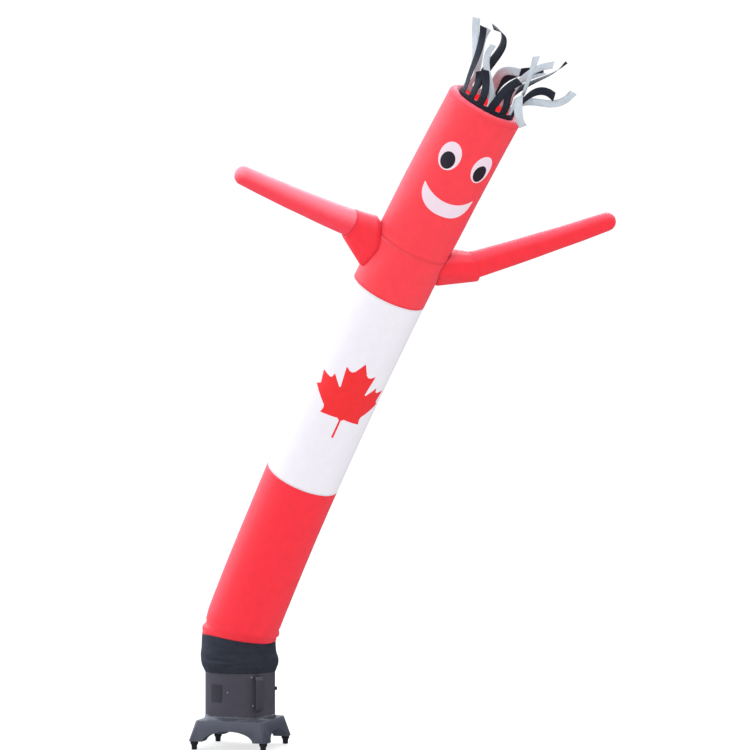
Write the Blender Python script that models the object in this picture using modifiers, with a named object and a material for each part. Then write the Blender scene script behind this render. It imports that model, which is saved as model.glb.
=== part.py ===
"""Inflatable air dancer: a leaning cloth tube with arms, a face and streamers, standing on its blower.

Metres, +Z up. The dancer faces -Y, leans to +X and towards -Y, and its feet rest on Z = 0.
The object's origin is the middle of its bounding box, on the ground.
"""
import math

import bmesh
import bpy
from mathutils import Matrix, Vector

# Cloth
CLOTH = 0.0018                     # thickness of every cloth piece
SEAM_GAP = 0.0003                  # between neighbouring pieces
TUBE_RADIUS = 0.1525               # a tube of twelve inches
AROUND = 40                        # facets around the tube, the collar and the barrel

# Heights of the tube's seams, on its centre line
COLLAR_TOP = 0.448
LOWER_TOP = 1.124
WHITE_TOP = 1.867
TORSO_TOP = 2.047
HEAD_TOP = 2.562

# Lean of the tube's centre line per metre of height, and how much it bends on the way up
FOOT_RIGHT, LEAN_RIGHT, BEND_RIGHT = -0.0155, 0.3902, 0.0384
FOOT_FRONT, LEAN_FRONT, BEND_FRONT = 0.0275, 0.3376, 0.0185
KINK_START = 0.15                  # share of the lean that the tube's foot already has
KINK_LENGTH = 0.095                # height over which the foot turns into the full lean
KINK_SHIFT = Vector((0.0105, 0.0145, 0.0))

# Crown and mouth of the head
MOUTH_RADIUS = 0.117
CROWN_RISE = 0.012
CROWN_SWELL = 0.007
CROWN_HEM = 0.003                  # straight edge of the crown beside the seam
CROWN_RIPPLE = 0.0012
CROWN_GATHERS = 13

# Arms: angles around the tube are from its front, positive to the right
ARM_HEIGHT = 2.000
ARM_ROOT_RADIUS = 0.053
ARM_TIP_RADIUS = 0.036
ARM_SAG = 0.004
CUFF_DROP = 0.008
AIR_HOLE_RADIUS = 0.040

# Blower
BARREL_RADIUS = 0.1445
BARREL_TOP = 0.400
BARREL_EDGE = 0.004                # width of the barrel's rounded edges
OUTLET_RADIUS = 0.131
OUTLET_DEPTH = 0.060
BASE_TOP = 0.119
BASE_BOTTOM = 0.035
BASE_TOP_HALF = 0.1465
BASE_BOTTOM_HALF = 0.170
BASE_TURN = math.radians(-15.9)
BASE_CORNER = 0.014
BASE_RIM = 0.004
INTAKE_RADIUS = 0.118
ARCH_HALF_WIDTH = 0.110
ARCH_HEIGHT = 0.047
ARCH_SINK = 0.004                  # how far the arches' middle lies below the base
FOOT_HALF_SQUARE = 0.1488

PARTS = "Air dancer"
CUTTERS = "Cutters"


def clear_scene():
    for item in list(bpy.data.objects):
        bpy.data.objects.remove(item, do_unlink=True)


def new_collection(name):
    collection = bpy.data.collections.new(name)
    bpy.context.scene.collection.children.link(collection)
    return collection


def material(name, colour, roughness, metallic=0.0):
    """A Principled material; the colour is given as linear red, green and blue."""
    made = bpy.data.materials.new(name)
    made.use_nodes = True
    shader = made.node_tree.nodes["Principled BSDF"]
    shader.inputs["Base Color"].default_value = (*colour, 1.0)
    shader.inputs["Roughness"].default_value = roughness
    shader.inputs["Metallic"].default_value = metallic
    return made


def add_part(name, mesh, colour, roughness, root, smooth_angle=35.0):
    """Links a mesh as one part with its own material, under the root empty."""
    part = bpy.data.objects.new(name, mesh)
    bpy.data.collections[PARTS].objects.link(part)
    part.parent = root
    mesh.materials.append(material(name + "_material", colour, roughness))
    mesh.shade_smooth()
    mesh.set_sharp_from_angle(angle=math.radians(smooth_angle))
    return part


def add_cutter(name, mesh):
    cutter = bpy.data.objects.new(name, mesh)
    bpy.data.collections[CUTTERS].objects.link(cutter)
    cutter.hide_render = True
    cutter.display_type = "WIRE"
    return cutter


def cut(part, cutter, name):
    boolean = part.modifiers.new(name, "BOOLEAN")
    boolean.operation = "DIFFERENCE"
    boolean.solver = "EXACT"
    boolean.object = cutter


def thicken(part, thickness, offset=-1.0):
    solidify = part.modifiers.new("Cloth thickness", "SOLIDIFY")
    solidify.thickness = thickness
    solidify.offset = offset
    solidify.use_even_offset = True


def smooth_step(value):
    value = min(max(value, 0.0), 1.0)
    return value * value * (3.0 - 2.0 * value)


def bump(distance, half_width):
    """A soft hump: 1 in the middle, 0 from one half width away."""
    ratio = abs(distance) / half_width
    return 0.0 if ratio >= 1.0 else (1.0 - ratio * ratio) ** 2


def rolled_cloth(name, rows, columns, place):
    """A flat cloth rolled into a tube: place(around, along) gives a point, both from 0 to 1.

    Around runs to the right seen from the front, so the faces point out of the tube.
    """
    mesh = bpy.data.meshes.new(name)
    work = bmesh.new()
    bmesh.ops.create_grid(work, x_segments=columns, y_segments=rows, size=0.5)
    for vertex in work.verts:
        vertex.co = place(vertex.co.x + 0.5, vertex.co.y + 0.5)
    bmesh.ops.remove_doubles(work, verts=work.verts, dist=0.00001)
    bmesh.ops.recalc_face_normals(work, faces=work.faces)
    work.to_mesh(mesh)
    work.free()
    return mesh


def tube_frame(height):
    """Centre of the tube at a height, with its across, front and axis directions."""
    rise = height - COLLAR_TOP
    turned = KINK_START + (1.0 - KINK_START) * min(max(rise / KINK_LENGTH, 0.0), 1.0)
    centre = Vector((FOOT_RIGHT + LEAN_RIGHT * rise + BEND_RIGHT * rise ** 2,
                     -FOOT_FRONT - LEAN_FRONT * rise - BEND_FRONT * rise ** 2,
                     height))
    centre += (1.0 - smooth_step(rise / KINK_LENGTH)) * KINK_SHIFT
    lean = Vector((LEAN_RIGHT + 2.0 * BEND_RIGHT * rise, -LEAN_FRONT - 2.0 * BEND_FRONT * rise, 1.0))
    axis = Vector((0.0, 0.0, 1.0)).lerp(lean.normalized(), turned).normalized()
    across = Vector((axis.z, 0.0, -axis.x)).normalized()
    return centre, across, across.cross(axis), axis


def tube_point(height, angle, radius):
    centre, across, front, _ = tube_frame(height)
    return centre + radius * (math.sin(angle) * across + math.cos(angle) * front)


# The tube's main creases: each is a soft trough (negative) or ridge at a height on the centre
# line and an angle in degrees from the front, with its half height and half width in degrees.
# Slant is how much it climbs, in metres per 90 degrees to the right.
TUBE_FOLDS = (
    # height, angle, depth, half_height, half_width, slant
    (0.474, 85.0, -0.008, 0.024, 70.0, -0.004),
    (0.505, 105.0, 0.004, 0.024, 55.0, 0.000),
    (0.470, -92.0, 0.006, 0.022, 60.0, 0.004),
    (0.490, -85.0, -0.004, 0.014, 50.0, 0.006),
    (0.470, 15.0, 0.003, 0.020, 60.0, 0.004),
    (2.068, -15.0, -0.004, 0.018, 40.0, -0.004),
    (2.030, 35.0, -0.003, 0.020, 30.0, 0.006),
)


def angle_between(first, second):
    """Signed difference of two angles in degrees, from -180 to 180."""
    return (first - second + 180.0) % 360.0 - 180.0


def tube_radius(height, angle):
    radius = TUBE_RADIUS
    for fold_height, fold_angle, depth, half_height, half_width, slant in TUBE_FOLDS:
        turn = angle_between(math.degrees(angle), fold_angle)
        level = fold_height + slant * turn / 90.0
        radius += depth * bump(height - level, half_height) * bump(turn, half_width)
    return radius


def tube_panel(name, bottom, top, heights, colour, root):
    """One cloth panel of the tube, open at both ends."""
    levels = [bottom + SEAM_GAP / 2.0, *heights, top - SEAM_GAP / 2.0]

    def place(around, along):
        angle = 2.0 * math.pi * around
        height = levels[round(along * (len(levels) - 1))]
        return tube_point(height, angle, tube_radius(height, angle))

    mesh = rolled_cloth(name, len(levels) - 1, AROUND, place)
    part = add_part(name, mesh, colour, 0.55, root)
    thicken(part, CLOTH)
    return part


def even_levels(bottom, top, count):
    """Heights between two seams, without the seams themselves."""
    return [bottom + (top - bottom) * (index + 1) / (count + 1) for index in range(count)]


RED = (0.90, 0.035, 0.055)
WHITE = (0.86, 0.86, 0.88)
BLACK_CLOTH = (0.022, 0.024, 0.034)
GREY_CLOTH = (0.50, 0.56, 0.62)
BLACK_PLASTIC = (0.045, 0.045, 0.055)
PLATE_BLACK = (0.022, 0.021, 0.026)
RUBBER = (0.020, 0.020, 0.024)
SCREW_GREY = (0.12, 0.12, 0.13)


def build_tube(root):
    kink = [0.458, 0.469, 0.480, 0.491, 0.503, 0.518, 0.545, 0.590]
    tube_panel("lower_panel", COLLAR_TOP, LOWER_TOP, kink + even_levels(0.590, LOWER_TOP, 4), RED, root)
    tube_panel("white_panel", LOWER_TOP, WHITE_TOP, even_levels(LOWER_TOP, WHITE_TOP, 6), WHITE, root)
    torso_levels = even_levels(WHITE_TOP, TORSO_TOP, 5)
    torso = tube_panel("torso_panel", WHITE_TOP, TORSO_TOP, torso_levels, RED, root)
    head_levels = [2.058, 2.068, 2.078, 2.095] + even_levels(2.095, HEAD_TOP, 4)
    tube_panel("head_panel", TORSO_TOP, HEAD_TOP, head_levels, RED, root)
    return torso


def build_crown(root):
    """The gathered ring between the head panel's top seam and the mouth, a little swollen."""
    top = HEAD_TOP + SEAM_GAP / 2.0
    centre, across, front, axis = tube_frame(top)
    rings = 6

    def place(around, along):
        angle = 2.0 * math.pi * around
        share = max(round(along * rings) - 1, 0) / (rings - 1)
        hem = CROWN_HEM if along > 0.0 else 0.0
        inward = (TUBE_RADIUS - MOUTH_RADIUS) * (1.0 - math.cos(math.pi / 2.0 * share) ** 1.2)
        rise = hem + (CROWN_SWELL + CROWN_RISE) * math.sin(math.pi / 2.0 * min(share * 1.25, 1.0))
        rise -= CROWN_SWELL * max(share - 0.6, 0.0) / 0.4
        ripple = CROWN_RIPPLE * math.sin(CROWN_GATHERS * angle) * math.sin(math.pi * share)
        outward = math.sin(angle) * across + math.cos(angle) * front
        return centre + outward * (TUBE_RADIUS - inward + ripple) + axis * rise

    mesh = rolled_cloth("crown", rings, AROUND, place)
    part = add_part("crown", mesh, RED, 0.55, root)
    thicken(part, CLOTH)


# Streamers: the angle around the mouth where each is sewn, then three headings that it follows
# from root to tip, each as a lean from the head's axis and the side it leans to, then its length
# and how far it twists on the way. Angles are in degrees, sides are from the front to the right.
BLACK_STREAMERS = (
    # root, lean_1, to_1, lean_2, to_2, lean_3, to_3, length, twist
    (-180.0, 10.0, -180.0, 55.0, 60.0, 65.0, 105.0, 0.225, -20.0),
    (-145.0, 10.0, -135.0, 45.0, 125.0, 90.0, -55.0, 0.285, 110.0),
    (-60.0, 10.0, -60.0, 80.0, -180.0, 40.0, -25.0, 0.255, -40.0),
    (-32.0, 10.0, -30.0, 95.0, -180.0, 35.0, -135.0, 0.105, 0.0),
    (-10.0, 10.0, -10.0, 65.0, -155.0, 40.0, -50.0, 0.120, 10.0),
    (14.0, 25.0, 20.0, 90.0, -175.0, 35.0, 80.0, 0.150, 10.0),
    (40.0, 5.0, 35.0, 90.0, -140.0, 30.0, 140.0, 0.110, 10.0),
    (75.0, 5.0, 70.0, 50.0, 165.0, 100.0, 65.0, 0.195, 60.0),
    (150.0, 25.0, 150.0, 65.0, 95.0, 15.0, 45.0, 0.280, 70.0),
)
GREY_STREAMERS = (
    # root, lean_1, to_1, lean_2, to_2, lean_3, to_3, length, twist
    (-175.0, 10.0, 0.0, 65.0, -15.0, 85.0, 115.0, 0.185, 40.0),
    (-125.0, 10.0, 55.0, 50.0, -100.0, 10.0, 45.0, 0.225, 40.0),
    (-85.0, 10.0, 95.0, 55.0, -125.0, 20.0, -80.0, 0.260, -80.0),
    (10.0, 30.0, -150.0, 85.0, -100.0, 15.0, 115.0, 0.240, -20.0),
    (64.0, 5.0, -80.0, 130.0, 0.0, 110.0, 150.0, 0.250, 30.0),
    (85.0, 5.0, -95.0, 20.0, -10.0, 15.0, -110.0, 0.235, 50.0),
    (113.0, 35.0, 20.0, 125.0, 120.0, 10.0, 105.0, 0.260, 0.0),
    (138.0, 25.0, -40.0, 20.0, 70.0, 55.0, 85.0, 0.255, 0.0),
    (160.0, 25.0, 5.0, 55.0, 125.0, 50.0, 55.0, 0.210, 70.0),
)
STREAMER_WIDTH = 0.027
STREAMER_STEPS = 8
STRIP_TOP = 0.034                  # the strips' edges, above the mouth along the head's axis
STRIP_BOTTOM = -0.006
BLACK_STRIP_RADIUS = 0.1161
GREY_STRIP_RADIUS = 0.1131


def heading(lean, side):
    """A direction in the head's own across, front and axis directions."""
    lean, side = math.radians(lean), math.radians(side)
    return Vector((math.sin(lean) * math.sin(side), math.sin(lean) * math.cos(side), math.cos(lean)))


def streamer_route(row, radius, steps):
    """Points from root to tip and the width direction at each, in the head's own directions."""
    root_angle, lean_1, to_1, lean_2, to_2, lean_3, to_3, length, twist = row
    angle = math.radians(root_angle)
    first, second, third = heading(lean_1, to_1), heading(lean_2, to_2), heading(lean_3, to_3)
    point = Vector((radius * math.sin(angle), radius * math.cos(angle), STRIP_TOP))
    width = Vector((math.cos(angle), -math.sin(angle), 0.0))
    previous = Vector((0.0, 0.0, 1.0))
    route = [(point, width, previous)]
    for step in range(steps):
        share = (step + 0.5) / steps
        ahead = (1 - share) ** 2 * first + 2 * share * (1 - share) * second + share ** 2 * third
        ahead.normalize()
        point = point + ahead * length / steps
        width = previous.rotation_difference(ahead) @ width
        width = Matrix.Rotation(math.radians(twist / steps), 3, ahead) @ width
        previous = ahead
        route.append((point, width.normalized(), ahead))
    return route


def build_fringe(name, streamers, outer_radius, colour, root):
    """A narrow strip around the mouth with its streamers growing out of the strip's upper edge."""
    centre, across, front, axis = tube_frame(HEAD_TOP)
    centre = centre + axis * (CROWN_RISE + CROWN_HEM)
    inner_radius = outer_radius - CLOTH
    middle_radius = (outer_radius + inner_radius) / 2.0
    half_turn = math.degrees(STREAMER_WIDTH / 2.0 / middle_radius)
    stops = []
    for index, row in enumerate(streamers):
        following = streamers[(index + 1) % len(streamers)][0]
        gap = (following - row[0]) % 360.0 - 2.0 * half_turn
        pieces = max(1, math.ceil(gap / 14.0))
        stops.append((row[0] - half_turn, row))
        stops += [(row[0] + half_turn + gap * piece / pieces, None) for piece in range(pieces)]

    mesh = bpy.data.meshes.new(name)
    work = bmesh.new()

    def head_vertex(right, ahead, up):
        return work.verts.new(centre + across * right + front * ahead + axis * up)

    def around(radius, degrees, up):
        angle = math.radians(degrees)
        return head_vertex(radius * math.sin(angle), radius * math.cos(angle), up)

    rings = [[around(outer_radius, stop, STRIP_BOTTOM), around(outer_radius, stop, STRIP_TOP),
              around(inner_radius, stop, STRIP_TOP), around(inner_radius, stop, STRIP_BOTTOM)]
             for stop, _ in stops]
    for index, (_, row) in enumerate(stops):
        here, there = rings[index], rings[(index + 1) % len(rings)]
        for corner in range(4):
            if row is not None and corner == 1:
                continue
            onward = (corner + 1) % 4
            work.faces.new((here[corner], there[corner], there[onward], here[onward]))
        if row is None:
            continue
        section = [here[1], there[1], there[2], here[2]]
        for point, width, ahead in streamer_route(row, middle_radius, STREAMER_STEPS)[1:]:
            outward = ahead.cross(width).normalized() * CLOTH / 2.0
            side = width * STREAMER_WIDTH / 2.0
            corners = (point - side + outward, point + side + outward,
                       point + side - outward, point - side - outward)
            further = [head_vertex(*corner) for corner in corners]
            for corner in range(4):
                onward = (corner + 1) % 4
                work.faces.new((section[corner], section[onward], further[onward], further[corner]))
            section = further
        work.faces.new(section)
    bmesh.ops.recalc_face_normals(work, faces=work.faces)
    work.to_mesh(mesh)
    work.free()
    add_part(name, mesh, colour, 0.6, root, 60.0)


# Each arm: the angle around the tube that it is sewn to, the lowest and highest height of its cuff
# on the tube's centre line, how many degrees the cuff's point turns to the front, how far out and
# up the cuff carries the arm's root, and the direction and length of the arm itself
ARMS = (
    # side, root_angle, cuff_low, cuff_high, skew, out, lift, right, front, up, length
    ("left", -77.0, 1.921, 2.072, 14.0, 0.112, 0.036, -0.835, 0.430, 0.342, 0.520),
    ("right", 103.0, 1.949, 2.074, 0.0, 0.132, 0.103, 0.944, -0.107, 0.311, 0.560),
)
ARM_SIDES = 20
CUFF_OVERLAP = 0.012               # how far the arm's root goes into its cuff
CUFF_STAND_OFF = 0.0011            # from the tube's surface to the outer side of the cuff's edge
CUFF_HALF_TURN = 30.0              # half the cuff's width around the tube, in degrees
CUFF_END_RADIUS = 0.059            # the cuff's end, before it is gathered in to the arm
KNEE_OUT, KNEE_UP = 0.024, 0.016   # the cuff's upper bend, out from its edge on the tube


def arm_frame(root_angle, out, lift, direction):
    """Centre of the arm's root, the arm's direction, and two directions square to it."""
    angle = math.radians(root_angle)
    centre, across, front, axis = tube_frame(ARM_HEIGHT)
    outward = math.sin(angle) * across + math.cos(angle) * front
    shoulder = centre + outward * (TUBE_RADIUS + out) + axis * lift
    upward = (axis - direction * axis.dot(direction)).normalized()
    return shoulder, outward, upward, upward.cross(direction)


def build_arm(side, root_angle, out, lift, direction, length, root):
    shoulder, _, upward, sideways = arm_frame(root_angle, out, lift, direction)
    straight_rows, tip_rows = 6, 4
    rows = straight_rows + tip_rows
    whole = length + CUFF_OVERLAP
    straight = whole - ARM_TIP_RADIUS

    def place(around, length_share):
        angle = 2.0 * math.pi * around
        row = round(length_share * rows)
        if row <= straight_rows:
            reach = straight * row / straight_rows
            radius = ARM_ROOT_RADIUS + (ARM_TIP_RADIUS - ARM_ROOT_RADIUS) * row / straight_rows
        else:
            turn = math.pi / 2.0 * (row - straight_rows) / tip_rows
            reach = straight + ARM_TIP_RADIUS * math.sin(turn)
            radius = ARM_TIP_RADIUS * math.cos(turn)
        droop = ARM_SAG * math.sin(math.pi * reach / whole)
        outward = math.cos(angle) * upward + math.sin(angle) * sideways
        return shoulder + direction * (reach - CUFF_OVERLAP) + outward * radius - upward * droop

    part = add_part("arm_" + side, rolled_cloth("arm_" + side, rows, ARM_SIDES, place), RED, 0.55, root)
    thicken(part, CLOTH)


def cut_air_hole(side, root_angle, torso):
    """The round hole in the torso panel through which air reaches an arm."""
    start = tube_point(ARM_HEIGHT, math.radians(root_angle), TUBE_RADIUS)
    outward = start - tube_frame(ARM_HEIGHT)[0]
    turn = outward.to_track_quat("Z", "Y").to_matrix().to_4x4()
    hole = bpy.data.meshes.new("air_hole_" + side)
    work = bmesh.new()
    bmesh.ops.create_cone(work, cap_ends=True, segments=24, radius1=AIR_HOLE_RADIUS,
                          radius2=AIR_HOLE_RADIUS, depth=0.06, matrix=Matrix.Translation(start) @ turn)
    work.to_mesh(hole)
    work.free()
    cut(torso, add_cutter("air_hole_" + side, hole), "Air hole " + side)


def build_cuff(side, root_angle, cuff_low, cuff_high, skew, out, lift, direction, root):
    """A boxy gusset from the tube's surface to the arm: wide at the tube, pointed below."""
    shoulder, outward, upward, sideways = arm_frame(root_angle, out, lift, direction)
    axis = tube_frame(ARM_HEIGHT)[3]
    middle, half = (cuff_low + cuff_high) / 2.0, (cuff_high - cuff_low) / 2.0
    rows = 5
    gathered = ARM_ROOT_RADIUS + CLOTH + SEAM_GAP

    def place(around, length_share):
        angle = 2.0 * math.pi * around
        rise, turn = math.cos(angle), math.sin(angle)
        row = round(length_share * rows)
        narrow = 1.0 - 0.35 * max(-rise, 0.0) ** 1.5
        tube_angle = math.radians(root_angle + CUFF_HALF_TURN * turn * narrow + skew * max(-rise, 0.0))
        edge = tube_point(middle + rise * half, tube_angle, TUBE_RADIUS + CUFF_STAND_OFF)
        upper = max(rise, 0.0)
        knee = edge + outward * KNEE_OUT * (0.45 + 0.55 * upper) + axis * KNEE_UP * upper
        ring = rise * upward + turn * sideways
        drop = upward * CUFF_DROP * max(-rise, 0.0)
        wide_end = shoulder - direction * CUFF_OVERLAP * 0.9 + ring * CUFF_END_RADIUS - drop
        bands = (edge, knee, knee.lerp(wide_end, 0.5), wide_end,
                 shoulder - direction * CUFF_OVERLAP * 0.45 + ring * CUFF_END_RADIUS * 0.99 - drop * 0.8,
                 shoulder + ring * gathered)
        return bands[row]

    part = add_part("cuff_" + side, rolled_cloth("cuff_" + side, rows, ARM_SIDES, place), RED, 0.55, root)
    thicken(part, CLOTH)


# Profile of the collar: height, radius of its outer side
COLLAR_PROFILE = (
    # height, radius
    (0.3140, 0.1466),
    (0.3230, 0.1505),
    (0.3390, 0.1575),
    (0.3570, 0.1608),
    (0.3780, 0.1590),
    (0.4000, 0.1553),
    (0.4250, 0.1535),
    (COLLAR_TOP - SEAM_GAP / 2.0, TUBE_RADIUS),
)
COLLAR_FOLDS = (
    # height, angle, depth, half_height, half_width, slant
    (0.364, -22.0, -0.0045, 0.014, 45.0, -0.010),
    (0.349, 5.0, -0.0035, 0.012, 40.0, 0.012),
    (0.392, -60.0, 0.0030, 0.020, 45.0, 0.010),
    (0.377, 70.0, 0.0030, 0.022, 50.0, -0.012),
    (0.367, 170.0, -0.0040, 0.016, 60.0, 0.008),
)


def build_collar(root):
    """The black sleeve: tied close round the barrel, swollen above it, sewn to the tube's foot."""
    top_centre, across, front, axis = tube_frame(COLLAR_TOP)
    tied, sewn = COLLAR_PROFILE[0][0], COLLAR_PROFILE[-1][0]

    def place(around, along):
        angle = 2.0 * math.pi * around
        height, radius = COLLAR_PROFILE[round(along * (len(COLLAR_PROFILE) - 1))]
        for fold_height, fold_angle, depth, half_height, half_width, slant in COLLAR_FOLDS:
            turn = angle_between(math.degrees(angle), fold_angle)
            level = fold_height + slant * turn / 90.0
            radius += depth * bump(height - level, half_height) * bump(turn, half_width)
        level = Vector((math.sin(angle), -math.cos(angle), 0.0)) * radius
        leaning = (math.sin(angle) * across + math.cos(angle) * front) * radius
        share = smooth_step((height - tied) / (sewn - tied))
        below = axis * (height - COLLAR_TOP)
        return (Vector((0.0, 0.0, height)) + level).lerp(top_centre + below + leaning, share)

    mesh = rolled_cloth("collar", len(COLLAR_PROFILE) - 1, AROUND, place)
    part = add_part("collar", mesh, BLACK_CLOTH, 0.75, root)
    thicken(part, CLOTH)


def turned_mesh(name, profile, steps):
    """A solid of revolution about Z from (radius, height) pairs, top to bottom on the outside."""
    mesh = bpy.data.meshes.new(name)
    points = [(radius, 0.0, height) for radius, height in profile]
    mesh.from_pydata(points, [(index, index + 1) for index in range(len(points) - 1)], [])
    turned = bpy.data.objects.new(name, mesh)
    bpy.context.scene.collection.objects.link(turned)
    screw = turned.modifiers.new("Turn", "SCREW")
    screw.steps = steps
    screw.render_steps = steps
    screw.use_merge_vertices = True
    screw.merge_threshold = 0.00005
    made = bpy.data.meshes.new_from_object(turned.evaluated_get(bpy.context.evaluated_depsgraph_get()))
    bpy.data.objects.remove(turned, do_unlink=True)
    made.name = name
    return made


def build_barrel(root):
    """The blower's round casing with its open outlet."""
    outlet_floor = BARREL_TOP - OUTLET_DEPTH
    lip = BARREL_EDGE
    profile = (
        (0.0, outlet_floor),
        (OUTLET_RADIUS, outlet_floor),
        (OUTLET_RADIUS, BARREL_TOP - lip),
        (OUTLET_RADIUS + lip, BARREL_TOP),
        (BARREL_RADIUS - lip, BARREL_TOP),
        (BARREL_RADIUS, BARREL_TOP - lip),
        (BARREL_RADIUS, BASE_TOP + BARREL_EDGE),
        (BARREL_RADIUS - SEAM_GAP, BASE_TOP + SEAM_GAP),
        (0.0, BASE_TOP + SEAM_GAP),
    )
    add_part("blower_barrel", turned_mesh("blower_barrel", profile, AROUND), BLACK_PLASTIC, 0.45, root)


def build_base(root):
    """The square moulded base: four splayed legs with an arch between each pair."""
    mesh = bpy.data.meshes.new("blower_base")
    work = bmesh.new()
    upright = Matrix.Rotation(math.radians(45.0), 4, "Z")
    middle = Matrix.Translation((0.0, 0.0, (BASE_TOP + BASE_BOTTOM) / 2.0))
    bmesh.ops.create_cone(work, cap_ends=True, segments=4, radius1=BASE_BOTTOM_HALF * math.sqrt(2.0),
                          radius2=BASE_TOP_HALF * math.sqrt(2.0), depth=BASE_TOP - BASE_BOTTOM,
                          matrix=middle @ upright)
    corners = [edge for edge in work.edges if abs(edge.verts[0].co.z - edge.verts[1].co.z) > 0.01]
    bmesh.ops.bevel(work, geom=corners, offset=BASE_CORNER, segments=3, profile=0.5, affect="EDGES")
    rim = [edge for edge in work.edges if min(vertex.co.z for vertex in edge.verts) > BASE_TOP - 0.001]
    bmesh.ops.bevel(work, geom=rim, offset=BASE_RIM, segments=2, profile=0.5, affect="EDGES")
    bmesh.ops.transform(work, matrix=Matrix.Rotation(BASE_TURN, 4, "Z"), verts=work.verts)
    work.to_mesh(mesh)
    work.free()
    base = add_part("blower_base", mesh, BLACK_PLASTIC, 0.45, root)
    intake = bpy.data.meshes.new("intake")
    work = bmesh.new()
    bmesh.ops.create_cone(work, cap_ends=True, segments=AROUND, radius1=INTAKE_RADIUS,
                          radius2=INTAKE_RADIUS, depth=0.3,
                          matrix=Matrix.Translation((0.0, 0.0, BASE_BOTTOM)))
    work.to_mesh(intake)
    work.free()
    cut(base, add_cutter("intake", intake), "Intake")
    for index, name in enumerate(("arch_front", "arch_side")):
        tunnel = bpy.data.meshes.new(name)
        work = bmesh.new()
        bmesh.ops.create_cone(work, cap_ends=True, segments=30, radius1=1.0, radius2=1.0, depth=1.0)
        lie_down = Matrix.Rotation(math.radians(90.0), 4, "X")
        stretch = Matrix.Diagonal((ARCH_HALF_WIDTH, ARCH_HEIGHT, 0.6, 1.0))
        turn = Matrix.Rotation(BASE_TURN + index * math.pi / 2.0, 4, "Z")
        place = Matrix.Translation((0.0, 0.0, BASE_BOTTOM - ARCH_SINK))
        bmesh.ops.transform(work, matrix=place @ turn @ lie_down @ stretch, verts=work.verts)
        work.to_mesh(tunnel)
        work.free()
        cut(base, add_cutter(name, tunnel), name)


FOOT_BOTTOM_RADIUS, FOOT_TOP_RADIUS = 0.0110, 0.0165
FOOT_PLACES = (
    # name, right, back
    ("foot_front_left", -1.0, -1.0),
    ("foot_front_right", 1.0, -1.0),
    ("foot_back_right", 1.0, 1.0),
    ("foot_back_left", -1.0, 1.0),
)


def build_feet(root):
    """Four tapered pegs under the legs."""
    height = BASE_BOTTOM - SEAM_GAP
    turn = Matrix.Rotation(BASE_TURN, 3, "Z")
    for name, right, back in FOOT_PLACES:
        mesh = bpy.data.meshes.new(name)
        work = bmesh.new()
        bmesh.ops.create_cone(work, cap_ends=True, segments=16, radius1=FOOT_BOTTOM_RADIUS,
                              radius2=FOOT_TOP_RADIUS, depth=height,
                              matrix=Matrix.Translation((0.0, 0.0, height / 2.0)))
        work.to_mesh(mesh)
        work.free()
        foot = add_part(name, mesh, RUBBER, 0.8, root)
        foot.location = turn @ Vector((right * FOOT_HALF_SQUARE, back * FOOT_HALF_SQUARE, 0.0))


def on_barrel(angle, radius, height):
    """A point of the barrel's side at an angle in radians from the front."""
    return Vector((radius * math.sin(angle), -radius * math.cos(angle), height))


HANDLE_ANGLE = math.radians(31.0)
HANDLE_BOTTOM, HANDLE_TOP = 0.158, 0.304
HANDLE_STAND_OFF = 0.026
HANDLE_THICKNESS = 0.010
HANDLE_HALF_WIDTH = 0.0165
HANDLE_CORNER = 0.020
HANDLE_END_RISE = 0.003


def build_handle(root):
    """The carrying handle: a flat strap standing off the barrel, both ends turned in to it."""
    outline = bpy.data.curves.new("handle", "CURVE")
    outline.dimensions = "2D"
    outline.fill_mode = "BOTH"
    outline.extrude = HANDLE_HALF_WIDTH
    out, inner = HANDLE_STAND_OFF, HANDLE_STAND_OFF - HANDLE_THICKNESS
    half = (HANDLE_TOP - HANDLE_BOTTOM) / 2.0
    turn_in = half - HANDLE_CORNER
    inner_turn = turn_in - HANDLE_THICKNESS * 0.6
    pad = half - HANDLE_THICKNESS * 1.3
    upper_end = ((0.0, half), (out * 0.6, half - HANDLE_END_RISE), (out, turn_in))
    upper_inside = ((inner, inner_turn), (inner * 0.7, pad), (0.0, pad))
    lower_end = tuple((outward, -up) for outward, up in reversed(upper_end))
    lower_inside = tuple((outward, -up) for outward, up in reversed(upper_inside))
    points = upper_end + lower_end + lower_inside + upper_inside
    spline = outline.splines.new("POLY")
    spline.points.add(len(points) - 1)
    spline.use_cyclic_u = True
    for point, (outward, up) in zip(spline.points, points):
        point.co = (outward, up, 0.0, 1.0)
    flat = bpy.data.objects.new("handle_outline", outline)
    bpy.context.scene.collection.objects.link(flat)
    mesh = bpy.data.meshes.new_from_object(flat.evaluated_get(bpy.context.evaluated_depsgraph_get()))
    mesh.name = "handle"
    bpy.data.objects.remove(flat, do_unlink=True)
    work = bmesh.new()
    work.from_mesh(mesh)
    bmesh.ops.remove_doubles(work, verts=work.verts, dist=0.00005)
    out_direction = on_barrel(HANDLE_ANGLE, 1.0, 0.0)
    side = Vector((0.0, 0.0, 1.0)).cross(out_direction)
    axes = Matrix((out_direction, (0.0, 0.0, 1.0), -side)).transposed().to_4x4()
    seat = on_barrel(HANDLE_ANGLE, BARREL_RADIUS + SEAM_GAP, (HANDLE_TOP + HANDLE_BOTTOM) / 2.0)
    bmesh.ops.transform(work, matrix=Matrix.Translation(seat) @ axes, verts=work.verts)
    bmesh.ops.recalc_face_normals(work, faces=work.faces)
    work.to_mesh(mesh)
    work.free()
    add_part("handle", mesh, BLACK_PLASTIC, 0.4, root)


PLATE_FROM, PLATE_TO = math.radians(-52.0), math.radians(-29.0)
PLATE_BOTTOM, PLATE_TOP = 0.195, 0.266
PLATE_THICKNESS = 0.0015


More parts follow.
